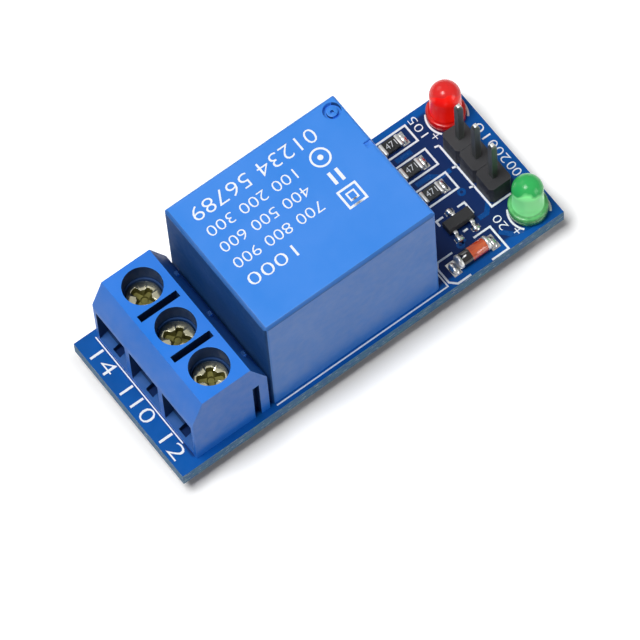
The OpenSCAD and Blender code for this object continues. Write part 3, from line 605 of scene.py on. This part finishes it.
class RELAY_OT_board_print(Operator):
    """Print the outlines, the plain numbers and the marks on the board"""
    bl_idname = "relay_module.board_print"
    bl_label = "Board print"

    line: length_property("Line width", "Width of an outline", 0.2, 0.1, 0.4)
    margin: length_property("Margin", "Gap between a part and its outline", 0.28)

    OUTLINES = {  # round each small part, as (x, y) points from its middle
        # an open box
        **dict.fromkeys((f"resistor_caps_{n}" for n in POLES), (
            ((-2.4, 1), (2.35, 1), (2.35, -1), (-2.4, -1)),)),
        # two corners and a dash
        "transistor_body": (
            ((-0.75, 1.35), (-1.55, 1.35), (-1.55, 0.75)),
            ((0.9, 1.35), (1.7, 1.35), (1.7, -0.05)),
            ((-0.2, -1), (0.3, -1))),
        # two brackets, one with its corners cut off
        "diode_glass": (
            ((-1.3, 1.42), (-3, 1.42), (-3.4, 0.92), (-3.4, -0.82), (-2.8, -1.42), (-1.3, -1.42)),
            ((1.15, 1.42), (3.05, 1.42), (3.05, -1.42), (1.15, -1.42))),
    }
    LARGE_NUMBER, LAMP_NUMBER, PIN_NUMBER, PLUS = 1.5, 0.85, 0.95, 0.7  # heights
    NUMBER_GAP, PLUS_GAP = 2.85, 2.15  # from a lamp's middle, along X

    def execute(self, context):
        bm = bmesh.new()
        self.outlines(bm)
        self.numbers(bm)
        ink = screen_ink("board_ink", context.scene.module_colours.ink, 0.55, 0.006)
        printed("board_print", bm, context.scene.module_sizes.ink_height, ink, ["silkscreen"])
        return {"FINISHED"}

    def outlines(self, bm):
        """Lines round the parts, a little clear of their sides."""
        def draw(*points, width=self.line):
            stroke(bm, points, width, TOP)

        # the terminal block's front line and the relay's outline
        x = HOUSING_LOW.x - 0.12
        draw((x, HOUSING_LOW.y + 2), (x, HOUSING_HIGH.y - 0.17), width=self.line * 0.6)
        start, x, y = COVER_LOW.x + 0.2, COVER_HIGH.x + 0.65, COVER_HIGH.y + self.margin
        draw((start, y), (x, y), (x, -y), (start, -y), width=self.line * 0.7)
        for node, lines in self.OUTLINES.items():
            for points in lines:
                draw(*(middle(node).xy + Vector(point) for point in points))
        # the header's outline, with a spike between its pins
        low, high = box("header_housing")
        left, gap, spike = low.x - 0.12, 0.2, middle("header_pin_2").y
        draw((left, high.y + gap), (left, low.y - gap), (high.x - 0.4, low.y - gap))
        for y in (high.y + gap, spike + 1.3, spike - 1.3):
            draw((left, y), (left - 0.45, y + 0.12))
        # an arc on either side of each lamp
        for lamp in LAMPS:
            low, high = box(f"{lamp}_led_lens")
            centre, radius = (low + high) / 2, (high.x - low.x) / 2 + 0.1
            for side in SIDES:
                points = arc((0, centre.y), radius, -40, 40, 10)
                draw(*((centre.x + side * x, y) for x, y in points))

    def numbers(self, bm):
        """Plain numbers beside the terminals, the lamps and the header's pins."""
        away, near = (Matrix.Rotation(turn * math.pi / 2, 4, "Z") for turn in SIDES)

        def number(words, length, height, x, y, turn=near):
            flat_text(bm, words, length, height, Matrix.Translation((x, y, TOP)) @ turn)

        x = (BOARD_LOW.x + HOUSING_LOW.x) / 2
        for n, words, length in zip(POLES, ("12", "110", "14"), (2.5, 4.0, 2.5)):
            y = middle(f"terminal_screw_{n}").y - 0.1 + 0.25 * (n - 2)
            number(words, length, self.LARGE_NUMBER, x, y, away)
        for lamp, words, length, up, down in zip(
                LAMPS, ("105", "20"), (2.3, 1.6), (0.7, 0.65), (1.1, 1.0)):
            x, y, _ = middle(f"{lamp}_led_lens")
            number(words, length, self.LAMP_NUMBER, x - self.NUMBER_GAP, y + up)
            number("+", self.PLUS, self.PLUS, x - self.PLUS_GAP, y - down)
        x = (box("header_housing")[1].x + BOARD_HIGH.x) / 2 + 0.25
        for n, words, length in zip(POLES, ("300", "200", "10"), (2.3, 2.6, 1.7)):
            y = middle(f"header_pin_{n}").y + 0.15 * (n - 1)
            number(words, length, self.PIN_NUMBER, x, y)


class RELAY_OT_relay_print(Operator):
    """Print rows of plain numbers and three plain signs on the relay's cover"""
    bl_idname = "relay_module.relay_print"
    bl_label = "Relay print"

    ROWS = (  # words, where the row starts and ends along X, its middle along Y, its height
        ("01234 56789", 4.4, -9.3, 5.5, 1.5),
        ("100 200 300", 0.6, -9.2, 3.3, 1.1),
        ("400 500 600", 0.6, -9.2, 1.3, 1.1),
        ("700 800 900", 0.6, -9.2, -0.7, 1.1),
        ("1000", -4.0, -9.2, -2.85, 1.25),
    )
    RING, BARS, BOX = Vector((3.3, 3.2)), Vector((3.3, 0.8)), Vector((3.3, -1.6))  # sign middles

    def execute(self, context):
        bm = bmesh.new()
        top = COVER_HIGH.z
        turned = Matrix.Rotation(math.pi, 4, "Z")
        for words, start, stop, y, height in self.ROWS:
            place = Matrix.Translation(((start + stop) / 2, y, top)) @ turned
            flat_text(bm, words, start - stop, height, place)
        for inner, outer in ((0.82, 1.02), (0, 0.28)):
            flat_ring(bm, self.RING, inner, outer, top)
        for side in SIDES:
            stroke(bm, [self.BARS + Vector((side * 0.4, end)) for end in (0.7, -0.7)], 0.34, top)
        for half, line in ((0.95, 0.22), (0.4, 0.16)):
            corners = ((0, -1), (-1, -1), (-1, 1), (1, 1), (1, -1), (0, -1))
            stroke(bm, [self.BOX + half * Vector(corner) for corner in corners], line, top)
        ink = screen_ink("cover_ink", context.scene.module_colours.ink)
        printed("relay_print", bm, context.scene.module_sizes.ink_height, ink)
        return {"FINISHED"}


class RELAY_OT_terminal_housing(Operator):
    """Mould the terminal block's housing"""
    bl_idname = "relay_module.terminal_housing"
    bl_label = "Terminal housing"

    SLOPES = ((3, 2.3), (3.4, 2.06))  # in front and behind: depth below the top, and steepness
    # BACK, SILL and the depths below mark the faces that get painted shade
    BACK, SILL = 1.5, 4  # how far the back and the sills lie from the highest corner
    WALL, SIDE_WALL, SKIN = 0.15, 0.35, 0.3  # least depths at which a face counts as sunk

    def execute(self, context):
        colour, edge = context.scene.module_colours.housing, context.scene.module_sizes.edge
        plastic = moulded_plastic("terminal_plastic", colour, 0.4)
        # Two darker copies of the plastic are painted shade: the darkest in the openings, bores,
        # slots, groove and on level faces at the back, the other on the back slope and the low sills.
        inside = moulded_plastic("terminal_sunk_shade", lighter(colour, -0.8), 0.55, shine=0.06)
        shade = moulded_plastic("terminal_shade", lighter(colour, -0.55), 0.5, shine=0.2)
        thing = finished("terminal_block", "terminal_housing", [plastic, inside, shade],
                         "terminal_plastic", edge)
        for face in thing.data.polygons:
            point, level = face.center / MM, face.normal.z > 0.9
            behind = HOUSING_HIGH.x - point.x < self.BACK and abs(face.normal.y) < 0.8
            sill = level and point.z < HOUSING_HIGH.z - self.SILL
            # darkest painted shade on sunk faces and level faces at the back, lighter painted shade
            # on the back slope and the sills
            if (behind and level) or self.sunk(point, face.normal):
                face.material_index = 1
            elif behind or sill:
                face.material_index = 2
        return {"FINISHED"}

    def sunk(self, point, normal):
        """Whether a face lies in one of the block's openings, bores, slots or its groove."""
        ways = point.x - HOUSING_LOW.x, HOUSING_HIGH.x - point.x
        near, far = point.y - HOUSING_LOW.y, HOUSING_HIGH.y - point.y
        outside = min(HOUSING_HIGH.z, *(
            HOUSING_HIGH.z - down + rise * way for (down, rise), way in zip(self.SLOPES, ways)))
        lip = normal.z > 0.3 and ways[0] < 1
        within = min(*ways, near, far - self.SIDE_WALL) > self.WALL
        return within and point.z < outside - self.SKIN and not lip


class RELAY_OT_terminal_metal(Operator):
    """Make the terminal screws with their threads, the rising clamps and the contact strips"""
    bl_idname = "relay_module.terminal_metal"
    bl_label = "Terminal metal"

    recess_depth: length_property("Recess depth", "Depth of the slots in a screw's head", 0.6)
    rest_turns: FloatVectorProperty(
        name="Rest turns", description="Turn of each screw as it was left",
        default=[math.radians(a) for a in (62, 38, 20)], subtype="EULER")

    HEAD, THREAD = 1, 1.25  # the head's height and the thread's radius
    DEPTH, FLANK = 0.61, 0.48  # the thread's depth and half width, as shares of its pitch
    CHAMFER, CROWN, WORN = 0.22, 0.05, 0.09  # round the head, over its top, along the recess
    SLOTS = ((1.12, 0), (1.45, math.pi / 2))  # half length and turn of each slot
    SLOT, TAPER, CORNER = 0.46, (0.8, 0.55, 1), 0.2  # half width, floor beside mouth, corners

    def execute(self, context):
        zinc = plated_metal("screw_zinc", tone(244, 240, 208), 0.14, stain=0.3)
        # A pale, half-metallic finish is a painted highlight on the recess's rounded rim, and a dark
        # olive one is painted shade in the recess.
        edge_highlight = plated_metal("screw_edge_highlight", tone(250, 248, 238), 0.35, stain=0.1, metallic=0.3)
        shaded_recess = plated_metal("screw_recess_shade", tone(122, 118, 62), 0.5, stain=0.6, metallic=0.7)
        steel = plated_metal("clamp_steel", tone(190, 190, 186), 0.34)
        brass = plated_metal("tinned_brass", tone(206, 198, 176), 0.3)
        for n, turn in zip(POLES, self.rest_turns):
            low, high = box(f"terminal_screw_{n}")
            bm = self.screw(low, high, turn, context.scene.module_sizes.thread_pitch)
            piece(f"screw_{n}", bm, [zinc, shaded_recess, edge_highlight],
                  [f"terminal_screw_{n}"], f"screw_{n}", level=True)
            finished(f"clamp_{n}", f"wire_clamp_{n}", [steel], "clamp_steel", 0.1,
                     body=f"clamp_{n}")
            finished(f"contact_{n}", f"terminal_contact_{n}", [brass], "tinned_brass", 0.05)
        return {"FINISHED"}

    def screw(self, low, high, turn, pitch):
        """A screw with a recess in its head and a thread wound on its core."""
        centre, radius, neck = (low + high) / 2, (high.x - low.x) / 2, high.z - self.HEAD
        cut = self.CHAMFER
        head = lathe([
            (0, neck), (radius - 0.1, neck), (radius, neck + 0.1),
            (radius, high.z - cut), (radius - cut * 0.35, high.z - cut * 0.3),
            (radius - cut, high.z - self.CROWN), (0, high.z)], (centre.x, centre.y, 0), 64)
        bm = carved(head, self.recess(centre, high.z, turn))
        self.break_edges(bm, high.z)
        # the core and the thread
        crest, root, flank = self.THREAD, self.THREAD - self.DEPTH * pitch, pitch * self.FLANK
        post(bm, centre, low.z, neck + 0.05, root + 0.02)
        turns, start = (neck - low.z) / pitch - 0.8, low.z + 0.6 * pitch
        corners = [(root - 0.05, -flank), (crest, -0.04), (crest, 0.04), (root - 0.05, flank)]
        ring = [bm.verts.new((centre.x + r, centre.y, start + z)) for r, z in corners]
        rim = [bm.edges.new(pair) for pair in zip(ring, ring[1:] + ring[:1])]
        steps = round(24 * turns)
        bmesh.ops.spin(
            bm, geom=ring + rim, cent=(centre.x, centre.y, 0), axis=(0, 0, 1),
            dvec=(0, 0, turns * pitch / steps), angle=turns * math.tau, steps=steps,
            use_merge=False, use_duplicate=False)
        bmesh.ops.holes_fill(bm, edges=[e for e in bm.edges if e.is_boundary], sides=4)
        # the second finish, a painted shade, lies in the recess
        for face in bm.faces:
            point = face.calc_center_median()
            inside = (point.xy - centre.xy).length < 1.5 and 0.1 < high.z - point.z < 1
            if inside and face.material_index == 0:
                face.material_index = 1
        return bm

    def break_edges(self, bm, top):
        """Rounds the edges between the recess and the head's top, and gives them the pale finish of a
        painted highlight.
        """
        bm.normal_update()
        level = {f for f in bm.faces if f.normal.z > 0.99 and f.calc_center_median().z > top - 0.08}
        rim = [e for e in bm.edges if len(level.intersection(e.link_faces)) == 1
               and min(f.calc_center_median().z for f in e.link_faces) < top - 0.15]
        for face in bevel(bm, rim, self.WORN, 2):
            face.material_index = 2

    def recess(self, centre, top, turn):
        """Two crossed slots with rounded ends and a dimple where they meet."""
        cutter, half, depth = bmesh.new(), self.SLOT, self.recess_depth
        for reach, angle in self.SLOTS:
            verts = block(cutter, (-reach, -half, -depth), (reach, half, 0.4))
            bmesh.ops.scale(cutter, vec=self.TAPER, verts=[v for v in verts if v.co.z < 0])
            bmesh.ops.rotate(cutter, matrix=Matrix.Rotation(angle, 3, "Z"), verts=verts)
            bevel(cutter, upright(verts, 0.5), self.CORNER, 3)
        post(cutter, (0, 0), -depth - 0.15, 0.3, 0.3, 0.95, 24)
        bmesh.ops.rotate(cutter, matrix=Matrix.Rotation(turn, 3, "Z"), verts=cutter.verts)
        bmesh.ops.translate(cutter, vec=(centre.x, centre.y, top), verts=cutter.verts)
        return cutter


class RELAY_OT_cover(Operator):
    """Mould the relay's cover"""
    bl_idname = "relay_module.cover"
    bl_label = "Relay cover"

    def execute(self, context):
        colour = context.scene.module_colours.cover
        plastic = moulded_plastic("cover_plastic", colour, 0.36)
        # Two darker copies of the plastic are painted shade: one on the rounded top edges that face
        # -X and -Y, the darker one on the -X side.
        edge = moulded_plastic("cover_edge_shade", lighter(colour, -0.45), 0.5)
        shade = moulded_plastic("cover_shade", lighter(colour, -0.66), 0.6, shine=0.1)
        thing = finished("cover", "relay_cover", [plastic, edge, shade], "relay_plastic", 0.04)
        for face in thing.data.polygons:
            # painted shade on the rounded edges towards -X and -Y, darker painted shade on the -X
            # side
            rounded = 0.15 < face.normal.z < 0.97 and min(face.normal.x, face.normal.y) < -0.1
            face.material_index = 1 if rounded else 2 if face.normal.x < -0.5 else 0
        return {"FINISHED"}


class RELAY_OT_relay_works(Operator):
    """Finish the relay's base, magnet, armature and contacts"""
    bl_idname = "relay_module.relay_works"
    bl_label = "Relay works"

    wire: length_property("Coil wire", "Pitch of the winding", 0.25)

    def execute(self, context):
        iron = plated_metal("iron", tone(150, 150, 152), 0.4)
        copper = plated_metal("contact_copper", tone(204, 146, 104), 0.32)
        silver = plated_metal("silver_contact", tone(222, 222, 216), 0.25)
        tin = plated_metal("tinned_pin", tone(214, 214, 210), 0.28)
        base = moulded_plastic("relay_base_plastic", tone(30, 66, 150), 0.45)
        ivory = moulded_plastic("bobbin_plastic", tone(232, 230, 216), 0.45)
        bronze = plated_metal("spring_bronze", tone(205, 140, 90), 0.3)
        pieces = (  # piece, node, finish, slot, edge and, if it moves, body
            ("base", "relay_base", base, "relay_base_plastic", 0.06),
            ("bobbin", "coil_bobbin", ivory, "bobbin_plastic", 0.06),
            ("magnet_core", "core", iron, "iron", 0.08),
            ("magnet_yoke", "yoke", iron, "iron", 0.06),
            ("armature_plate", "armature", iron, "iron", 0.06, "armature"),
            ("spring", "contact_spring", bronze, "spring_bronze", 0.02, "armature"),
            ("moving_button", "moving_contact", silver, "silver_contact", 0.06, "armature"),
            ("nc_strip", "nc_terminal", copper, "contact_copper", 0.05),
            ("nc_button", "nc_contact", silver, "silver_contact", 0.06),
            ("no_strip", "no_terminal", copper, "contact_copper", 0.05),
            ("no_button", "no_contact", silver, "silver_contact", 0.06),
            ("coil_post_1", "coil_pin_1", tin, "pin_metal", 0.04),
            ("coil_post_2", "coil_pin_2", tin, "pin_metal", 0.04),
        )
        for name, node, material, slot, edge, *body in pieces:
            finished(name, node, [material], slot, edge, 2, *body)
        self.winding()
        return {"FINISHED"}

    def winding(self):
        enamel = plated_metal("copper_wire", tone(190, 100, 46), 0.3)
        low, high = box("coil_winding")
        centre, radius = (low + high) / 2, (high.x - low.x) / 2
        bore = radius - 1.2
        turns = int((high.z - low.z) / self.wire)
        pitch = (high.z - low.z) / turns
        profile = [(bore, low.z)]
        for turn in range(turns):
            wire = radius - pitch / 2, low.z + (turn + 0.5) * pitch
            profile += arc(wire, pitch / 2, -80, 80, 4)
        bm = lathe([*profile, (bore, high.z), (bore, low.z)], (centre.x, centre.y, 0), 48)
        piece("winding", bm, [enamel], ["coil_winding"], smooth=60)


class RELAY_OT_header(Operator):
    """Make the header's plastic and its three pins"""
    bl_idname = "relay_module.header"
    bl_label = "Header"

    tip: length_property("Tip length", "Length of a pin's tapered tip", 0.5)
    corner: length_property("Corner", "Cut corner of a header block", 0.3)

    END = 0.6  # width of a pin's end beside that of the pin

    def execute(self, context):
        black = moulded_plastic("header_plastic", context.scene.module_colours.black, 0.5, 0.012)
        metal = plated_metal("pin_metal", tone(112, 116, 112), 0.34, (1, 1, 0.15), 0.15, 0.8)
        cut_end = plated_metal("pin_end", tone(238, 238, 232), 0.35, stain=0.1, metallic=0.8)
        low, high = box("header_housing")
        pitch = (high.y - low.y) / len(POLES)
        bm = bmesh.new()
        for n in range(len(POLES)):
            start = low + Vector((0, n * pitch, 0))
            verts = block(bm, start, start + Vector((high.x - low.x, pitch, high.z - low.z)))
            bevel(bm, upright(verts), self.corner, 1)
        soften(bm, 0.06, 2, 60)
        piece("header", bm, [black], ["header_housing"], level=True)
        for n in POLES:
            piece(f"pin_{n}", self.pin(f"header_pin_{n}"), [metal, cut_end],
                  [f"header_pin_{n}"], level=True)
        return {"FINISHED"}

    def pin(self, node):
        """A square pin with tapered tips and cut ends."""
        low, high = box(node)
        tip = Vector((0, 0, self.tip))
        bm = bmesh.new()
        block(bm, low + tip, high - tip)
        for face in [f for f in bm.faces if abs(f.normal.z) > 0.5]:
            out = face.normal * self.tip
            end = bmesh.ops.extrude_discrete_faces(bm, faces=[face])["faces"][0]
            bmesh.ops.translate(bm, vec=out, verts=end.verts)
            bmesh.ops.scale(bm, vec=(self.END, self.END, 1), verts=end.verts,
                            space=Matrix.Translation(-end.calc_center_median()))
        for face in bm.faces:
            face.material_index = 1 if abs(face.normal.z) > 0.9 else 0
        soften(bm, 0.05, 2, 20)
        return bm


class RELAY_OT_lamps(Operator):
    """Cast the two indicator lamps round their lead frames"""
    bl_idname = "relay_module.lamps"
    bl_label = "Lamps"

    DOME, RIM_HEIGHT, FLAT = 1.5, 1.0, 1.65  # FLAT lies so far behind the dome's axis
    GATHER = (0.47, 0.77, 0.43)  # the way up which the dome's softer tone begins

    clear: share_property("Clearness", "How much light the epoxy's rim lets through", 0.6)
    gathered: share_property("Gathered light", "How much tint the epoxy shows by itself", 0.22)

    def execute(self, context):
        colours = context.scene.module_colours
        tin = plated_metal("lamp_lead", tone(206, 206, 204), 0.3)
        chip = plated_metal("led_chip", tone(220, 200, 120), 0.3)
        for lamp, colour, glow, cap in (("red", colours.red_lamp, colours.red_glow, 0.1),
                                        ("green", colours.green_lamp, colours.green_glow, 0.5)):
            low, high = box(f"{lamp}_led_lens")
            rim = (high.x - low.x) / 2
            dome = Vector((low.x + rim, low.y + rim, high.z - self.DOME))
            epoxy = self.epoxy(f"{lamp}_epoxy", low.z, dome, colour, glow, cap)
            piece(f"{lamp}_lens", self.lens(low.z, rim, dome), [epoxy],
                  [f"{lamp}_led_lens"], smooth=50, level=True)
            for part in ("anode", "cathode"):
                finished(f"{lamp}_{part}", f"{lamp}_led_{part}", [tin], "pin_metal", 0.04)
            dress(f"{lamp}_led_chip", chip)
        return {"FINISHED"}

    def epoxy(self, name, foot, dome, colour, glow, cap):
        """Tinted epoxy: soft in the dome, bright where it gathers light below it, clear at the rim.

        The soft cap ends at the depth given below the middle of the dome."""
        epoxy = Finish(name, colour, 0.2, {"IOR": 1.5, "Specular IOR Level": 0.3})
        up = epoxy.vector("DOT_PRODUCT", epoxy.vector("SUBTRACT", epoxy.place, dome), self.GATHER)
        waver = epoxy.spread(epoxy.noise(0.8, 1), -0.25, 0.25)
        edge = epoxy.math("ADD", up.outputs["Value"], waver)
        above = epoxy.spread(epoxy.axis("Z"), 0, 1, foot + 0.85, foot + 1.25)
        haze = epoxy.spread(epoxy.noise(1.1, 2, (1, 1, 0.4)), 0, 1)
        below = epoxy.blend(epoxy.spread(edge, 0, 1, -2.9, -1.9), lighter(glow, -0.22), glow)
        body = epoxy.blend(epoxy.spread(edge, 0, 1, -cap - 0.25, -cap), below, colour)
        hazy = epoxy.blend(haze, lighter(glow, -0.1), lighter(colour, -0.5))
        tint = epoxy.blend(above, hazy, body)
        # the glow tone below the dome and the emission are painted light in the epoxy
        epoxy.put(epoxy.shader, {
            "Base Color": tint, "Emission Color": tint,
            "Emission Strength": epoxy.math("MULTIPLY", above, self.gathered),
            "Transmission Weight": epoxy.spread(above, self.clear, 0.05, 0, 1)})
        epoxy.bump(epoxy.noise(1.2), 0.008)
        return epoxy.material

    def lens(self, foot, rim, dome):
        """A dome on a rim that is cut flat on one side."""
        top, radius = foot + self.RIM_HEIGHT, self.DOME
        bm = lathe([
            (0, foot), (rim - 0.1, foot), (rim, foot + 0.1), (rim, top - 0.12),
            (rim - 0.12, top), (radius + 0.1, top), (radius, top + 0.12),
            *arc((0, dome.z), radius, 0, 90, 12)], (dome.x, dome.y, 0), 64)
        flat, y = bmesh.new(), dome.y + self.FLAT
        block(flat, (dome.x - rim - 1, y, foot - 1), (dome.x + rim + 1, y + 2, top + 0.02))
        return carved(bm, flat)


class RELAY_OT_chips(Operator):
    """Make the resistors, the transistor and the diode"""
    bl_idname = "relay_module.chips"
    bl_label = "Surface-mounted parts"

    NUMBER, INK_HEIGHT = (1.15, 0.62), 0.015  # on a resistor

    def execute(self, context):
        glaze = moulded_plastic("resistor_glaze", tone(38, 40, 40), 0.3)
        black = moulded_plastic("transistor_plastic", tone(20, 20, 23), 0.5, 0.01)
        tin = plated_metal("chip_tin", tone(222, 222, 220), 0.36, stain=0.15, metallic=0.85)
        ink = screen_ink("chip_ink", lighter(context.scene.module_colours.ink, -0.1))
        for n in POLES:
            finished(f"chip_body_{n}", f"resistor_{n}", [glaze], "resistor_black", 0.05)
            finished(f"chip_ends_{n}", f"resistor_caps_{n}", [tin], "tinned_metal", 0.08, 3)
            low, high = box(f"resistor_{n}")
            bm = bmesh.new()
            place = Matrix.Translation((*((low + high) / 2).xy, high.z))
            flat_text(bm, "471", *self.NUMBER, place)
            printed(f"chip_number_{n}", bm, self.INK_HEIGHT, ink)
        finished("transistor", "transistor_body", [black], "transistor_plastic", 0.06)
        finished("transistor_feet", "transistor_leads", [tin], "tinned_metal", 0.03)
        self.diode(tin)
        return {"FINISHED"}

    @staticmethod
    def lying(node):
        """The middle, half length and radius of a CAD node that is round about X."""
        low, high = box(node)
        return (low + high) / 2, (high.x - low.x) / 2, (high.z - low.z) / 2

    def diode(self, tin):
        centre, half, radius = self.lying("diode_glass")
        glass = Finish("diode_glass", tone(214, 72, 30), 0.08, {"IOR": 1.5, "Coat Weight": 0.6})
        start = centre.x - half
        band = glass.spread(glass.axis("X"), 0, 1, start + 0.95, start + 1.0)
        streak = glass.spread(glass.noise(2, 3, (0.2, 1, 1)), 0, 1)
        amber = glass.blend(streak, tone(222, 52, 14), tone(255, 120, 62))
        glass.put(glass.shader, {
            "Base Color": glass.blend(band, tone(20, 14, 14), amber),
            "Transmission Weight": glass.spread(band, 0.0, 0.25, 0, 1)})
        half += 0.1
        bm = lathe([
            (0, -half), (radius - 0.1, -half), (radius, -half + 0.15), (radius, half - 0.15),
            (radius - 0.1, half), (0, half)], centre, 48, (1, 0, 0))
        piece("diode_tube", bm, [glass.material], ["diode_glass"], smooth=50)
        for n, side in zip((1, 2), SIDES):
            centre, half, radius = self.lying(f"diode_cap_{n}")
            bm = lathe([
                (0, -half), (radius - 0.12, -half), (radius, -half + 0.1),
                (radius, half - 0.16), (radius - 0.16, half), (radius * 0.5, half + 0.05),
                (0, half + 0.06)], centre, 48, (side, 0, 0))
            piece(f"diode_end_{n}", bm, [tin], [f"diode_cap_{n}"], smooth=60)


class RELAY_OT_solder(Operator):
    """Flow the solder at the small parts' ends and round the leads under the board"""
    bl_idname = "relay_module.solder"
    bl_label = "Solder"

    MOUND = (0.62, 0.5, 0.95)  # half a mound's size beside the CAD's, along X, Y and Z
    LEAST, MOST_HEIGHT = (0.4, 0.44, 0.36), 0.42
    CONE = ((0.86, 0.16), (0.66, 0.4), (0.55, 0.7))  # shares of a cone's radius and height

    def execute(self, context):
        solder = plated_metal("solder", tone(222, 222, 220), 0.2, stain=0.15)
        bm = bmesh.new()
        for low, high in islands("smd_solder"):
            # the tinned copper that the mound stands on
            block(bm, (low.x - 0.1, low.y - 0.05, TOP), (high.x + 0.1, high.y + 0.05, TOP + 0.03))
            mound = bmesh.ops.create_uvsphere(bm, u_segments=32, v_segments=16, radius=1)["verts"]
            x, y, z = map(max, (s * share for s, share in zip(high - low, self.MOUND)), self.LEAST)
            bmesh.ops.scale(bm, vec=(x, y, min(z, self.MOST_HEIGHT)), verts=mound)
            bmesh.ops.translate(bm, vec=(*((low + high) / 2).xy, TOP), verts=mound)
            for vert in mound:
                vert.co.z = max(vert.co.z, TOP)
        piece("chip_solder", bm, [solder], ["smd_solder"], smooth=60)
        bm = bmesh.new()
        for low, high in islands("tht_solder"):
            centre, radius, foot = (low + high) / 2, (high.x - low.x) / 2, high.z
            cone = [(radius * r, foot - (foot - low.z) * z) for r, z in self.CONE]
            lathe([
                (0, foot), (radius + 0.12, foot), (radius + 0.12, foot - 0.04),
                (radius, foot - 0.05), *cone, (radius * 0.48, low.z), (0, low.z)],
                (centre.x, centre.y, 0), 32, bm=bm)
        piece("lead_solder", bm, [solder], ["tht_solder"], smooth=60)
        return {"FINISHED"}


class RELAY_OT_studio(Operator):
    """Set up the floor, the lamps, the sky and the camera"""
    bl_idname = "relay_module.studio"
    bl_label = "Studio"

    def execute(self, context):
        settings = context.scene.studio
        self.floor(settings)
        self.sky(settings)
        target = Vector(settings.target)
        for name, way, size, level in (
                ("key_lamp", (-0.19, 0.03, 0.62), 0.26, settings.key),
                ("back_lamp", (-0.1, 0.46, 0.4), 0.3, settings.back),
                ("fill_lamp", (0.35, -0.55, 0.18), 0.3, settings.fill)):
            self.lamp(name, target + Vector(way), target, size, level)
        self.camera(settings, target)
        context.scene.view_settings.view_transform = "Standard"
        return {"FINISHED"}

    def floor(self, settings):
        """White paper, dim to soft light so that it casts none up at the module."""
        paper = Finish("white_paper", (1, 1, 1), 0.9, {"Specular IOR Level": 0.0})
        seen = paper.rays("Camera", "Glossy", "Transmission")
        # the glow fades out near the board's outline, a painted shadow round the module
        glow = paper.spread(self.beyond_module(paper), 0, settings.paper_glow, 0.2, 2.4)
        paper.put(paper.shader, {
            "Base Color": paper.blend(seen, (0.16, 0.16, 0.17), (1, 1, 1)),
            "Emission Color": (1, 1, 1, 1),
            "Emission Strength": paper.math("MULTIPLY", seen, glow)})
        bm = bmesh.new()
        bmesh.ops.create_grid(bm, x_segments=1, y_segments=1, size=1.5 / MM)
        thing = in_scene("floor", mesh_of("floor", bm))
        thing.data.materials.append(paper.material)

    @staticmethod
    def beyond_module(paper):
        """How far a point of the floor lies from the board's outline, in millimetres."""
        across = paper.vector("SUBTRACT", paper.vector("ABSOLUTE", paper.place), BOARD_HIGH)
        return paper.vector("LENGTH", paper.vector("MAXIMUM", across, (0, 0, 0))).outputs["Value"]

    @staticmethod
    def sky(settings):
        """An even sky, white to the eye, with its own level for what glossy pieces mirror."""
        world = bpy.data.worlds.new("sky")
        bpy.context.scene.world = world
        nodes = Nodes(world)
        level = nodes.spread(nodes.rays("Glossy"), settings.sky, settings.gloss, 0, 1)
        nodes.put(nodes.nodes["Background"], {
            "Color": (1, 1, 1, 1),
            "Strength": nodes.spread(nodes.rays("Camera", "Transmission"), level, 1, 0, 1)})

    @staticmethod
    def lamp(name, place, target, size, level):
        """A square lamp that gives a face turned towards it the light level asked for."""
        light = bpy.data.lights.new(name, "AREA")
        light.size = size
        light.energy = level * math.pi ** 2 * (target - place).length_squared
        thing = in_scene(name, light)
        thing.location = place
        thing.rotation_euler = (target - place).to_track_quat("-Z", "Y").to_euler()

    @staticmethod
    def camera(settings, target):
        back = Vector((
            math.sin(settings.azimuth) * math.cos(settings.elevation),
            -math.cos(settings.azimuth) * math.cos(settings.elevation),
            math.sin(settings.elevation)))
        data = bpy.data.cameras.new("camera")
        data.lens, data.sensor_width = settings.lens, 36
        data.clip_start, data.clip_end = 0.01, 10
        turn = (-back).to_track_quat("-Z", "Y") @ Quaternion((0, 0, 1), settings.roll)
        place = Matrix.Translation(target + back * settings.distance)
        bpy.context.scene.camera = in_scene("camera", data)
        bpy.context.scene.camera.matrix_world = place @ turn.to_matrix().to_4x4()


OPERATORS = (
    RELAY_OT_studio, RELAY_OT_board, RELAY_OT_tracks, RELAY_OT_board_print, RELAY_OT_solder,
    RELAY_OT_terminal_housing, RELAY_OT_terminal_metal, RELAY_OT_cover, RELAY_OT_relay_print,
    RELAY_OT_relay_works, RELAY_OT_header, RELAY_OT_lamps, RELAY_OT_chips)


class RELAY_PT_panel(Panel):
    bl_label = "Relay module"
    bl_idname = "RELAY_PT_panel"
    bl_space_type = "VIEW_3D"
    bl_region_type = "UI"
    bl_category = "Relay module"

    def draw(self, context):
        scene = context.scene
        for group in (scene.module_colours, scene.module_sizes, scene.studio):
            for name in group.__annotations__:
                self.layout.prop(group, name)
        for operator in OPERATORS:
            self.layout.operator(operator.bl_idname)


CLASSES = (ModuleColours, ModuleSizes, StudioSettings, *OPERATORS, RELAY_PT_panel)


def register():
    for cls in CLASSES:
        bpy.utils.register_class(cls)
    bpy.types.Scene.module_colours = PointerProperty(type=ModuleColours)
    bpy.types.Scene.module_sizes = PointerProperty(type=ModuleSizes)
    bpy.types.Scene.studio = PointerProperty(type=StudioSettings)


def unregister():
    del bpy.types.Scene.studio, bpy.types.Scene.module_sizes, bpy.types.Scene.module_colours
    for cls in reversed(CLASSES):
        bpy.utils.unregister_class(cls)


def main():
    register()
    for operator in OPERATORS:
        group, name = operator.bl_idname.split(".")
        getattr(getattr(bpy.ops, group), name)()


if __name__ == "__main__":
    main()
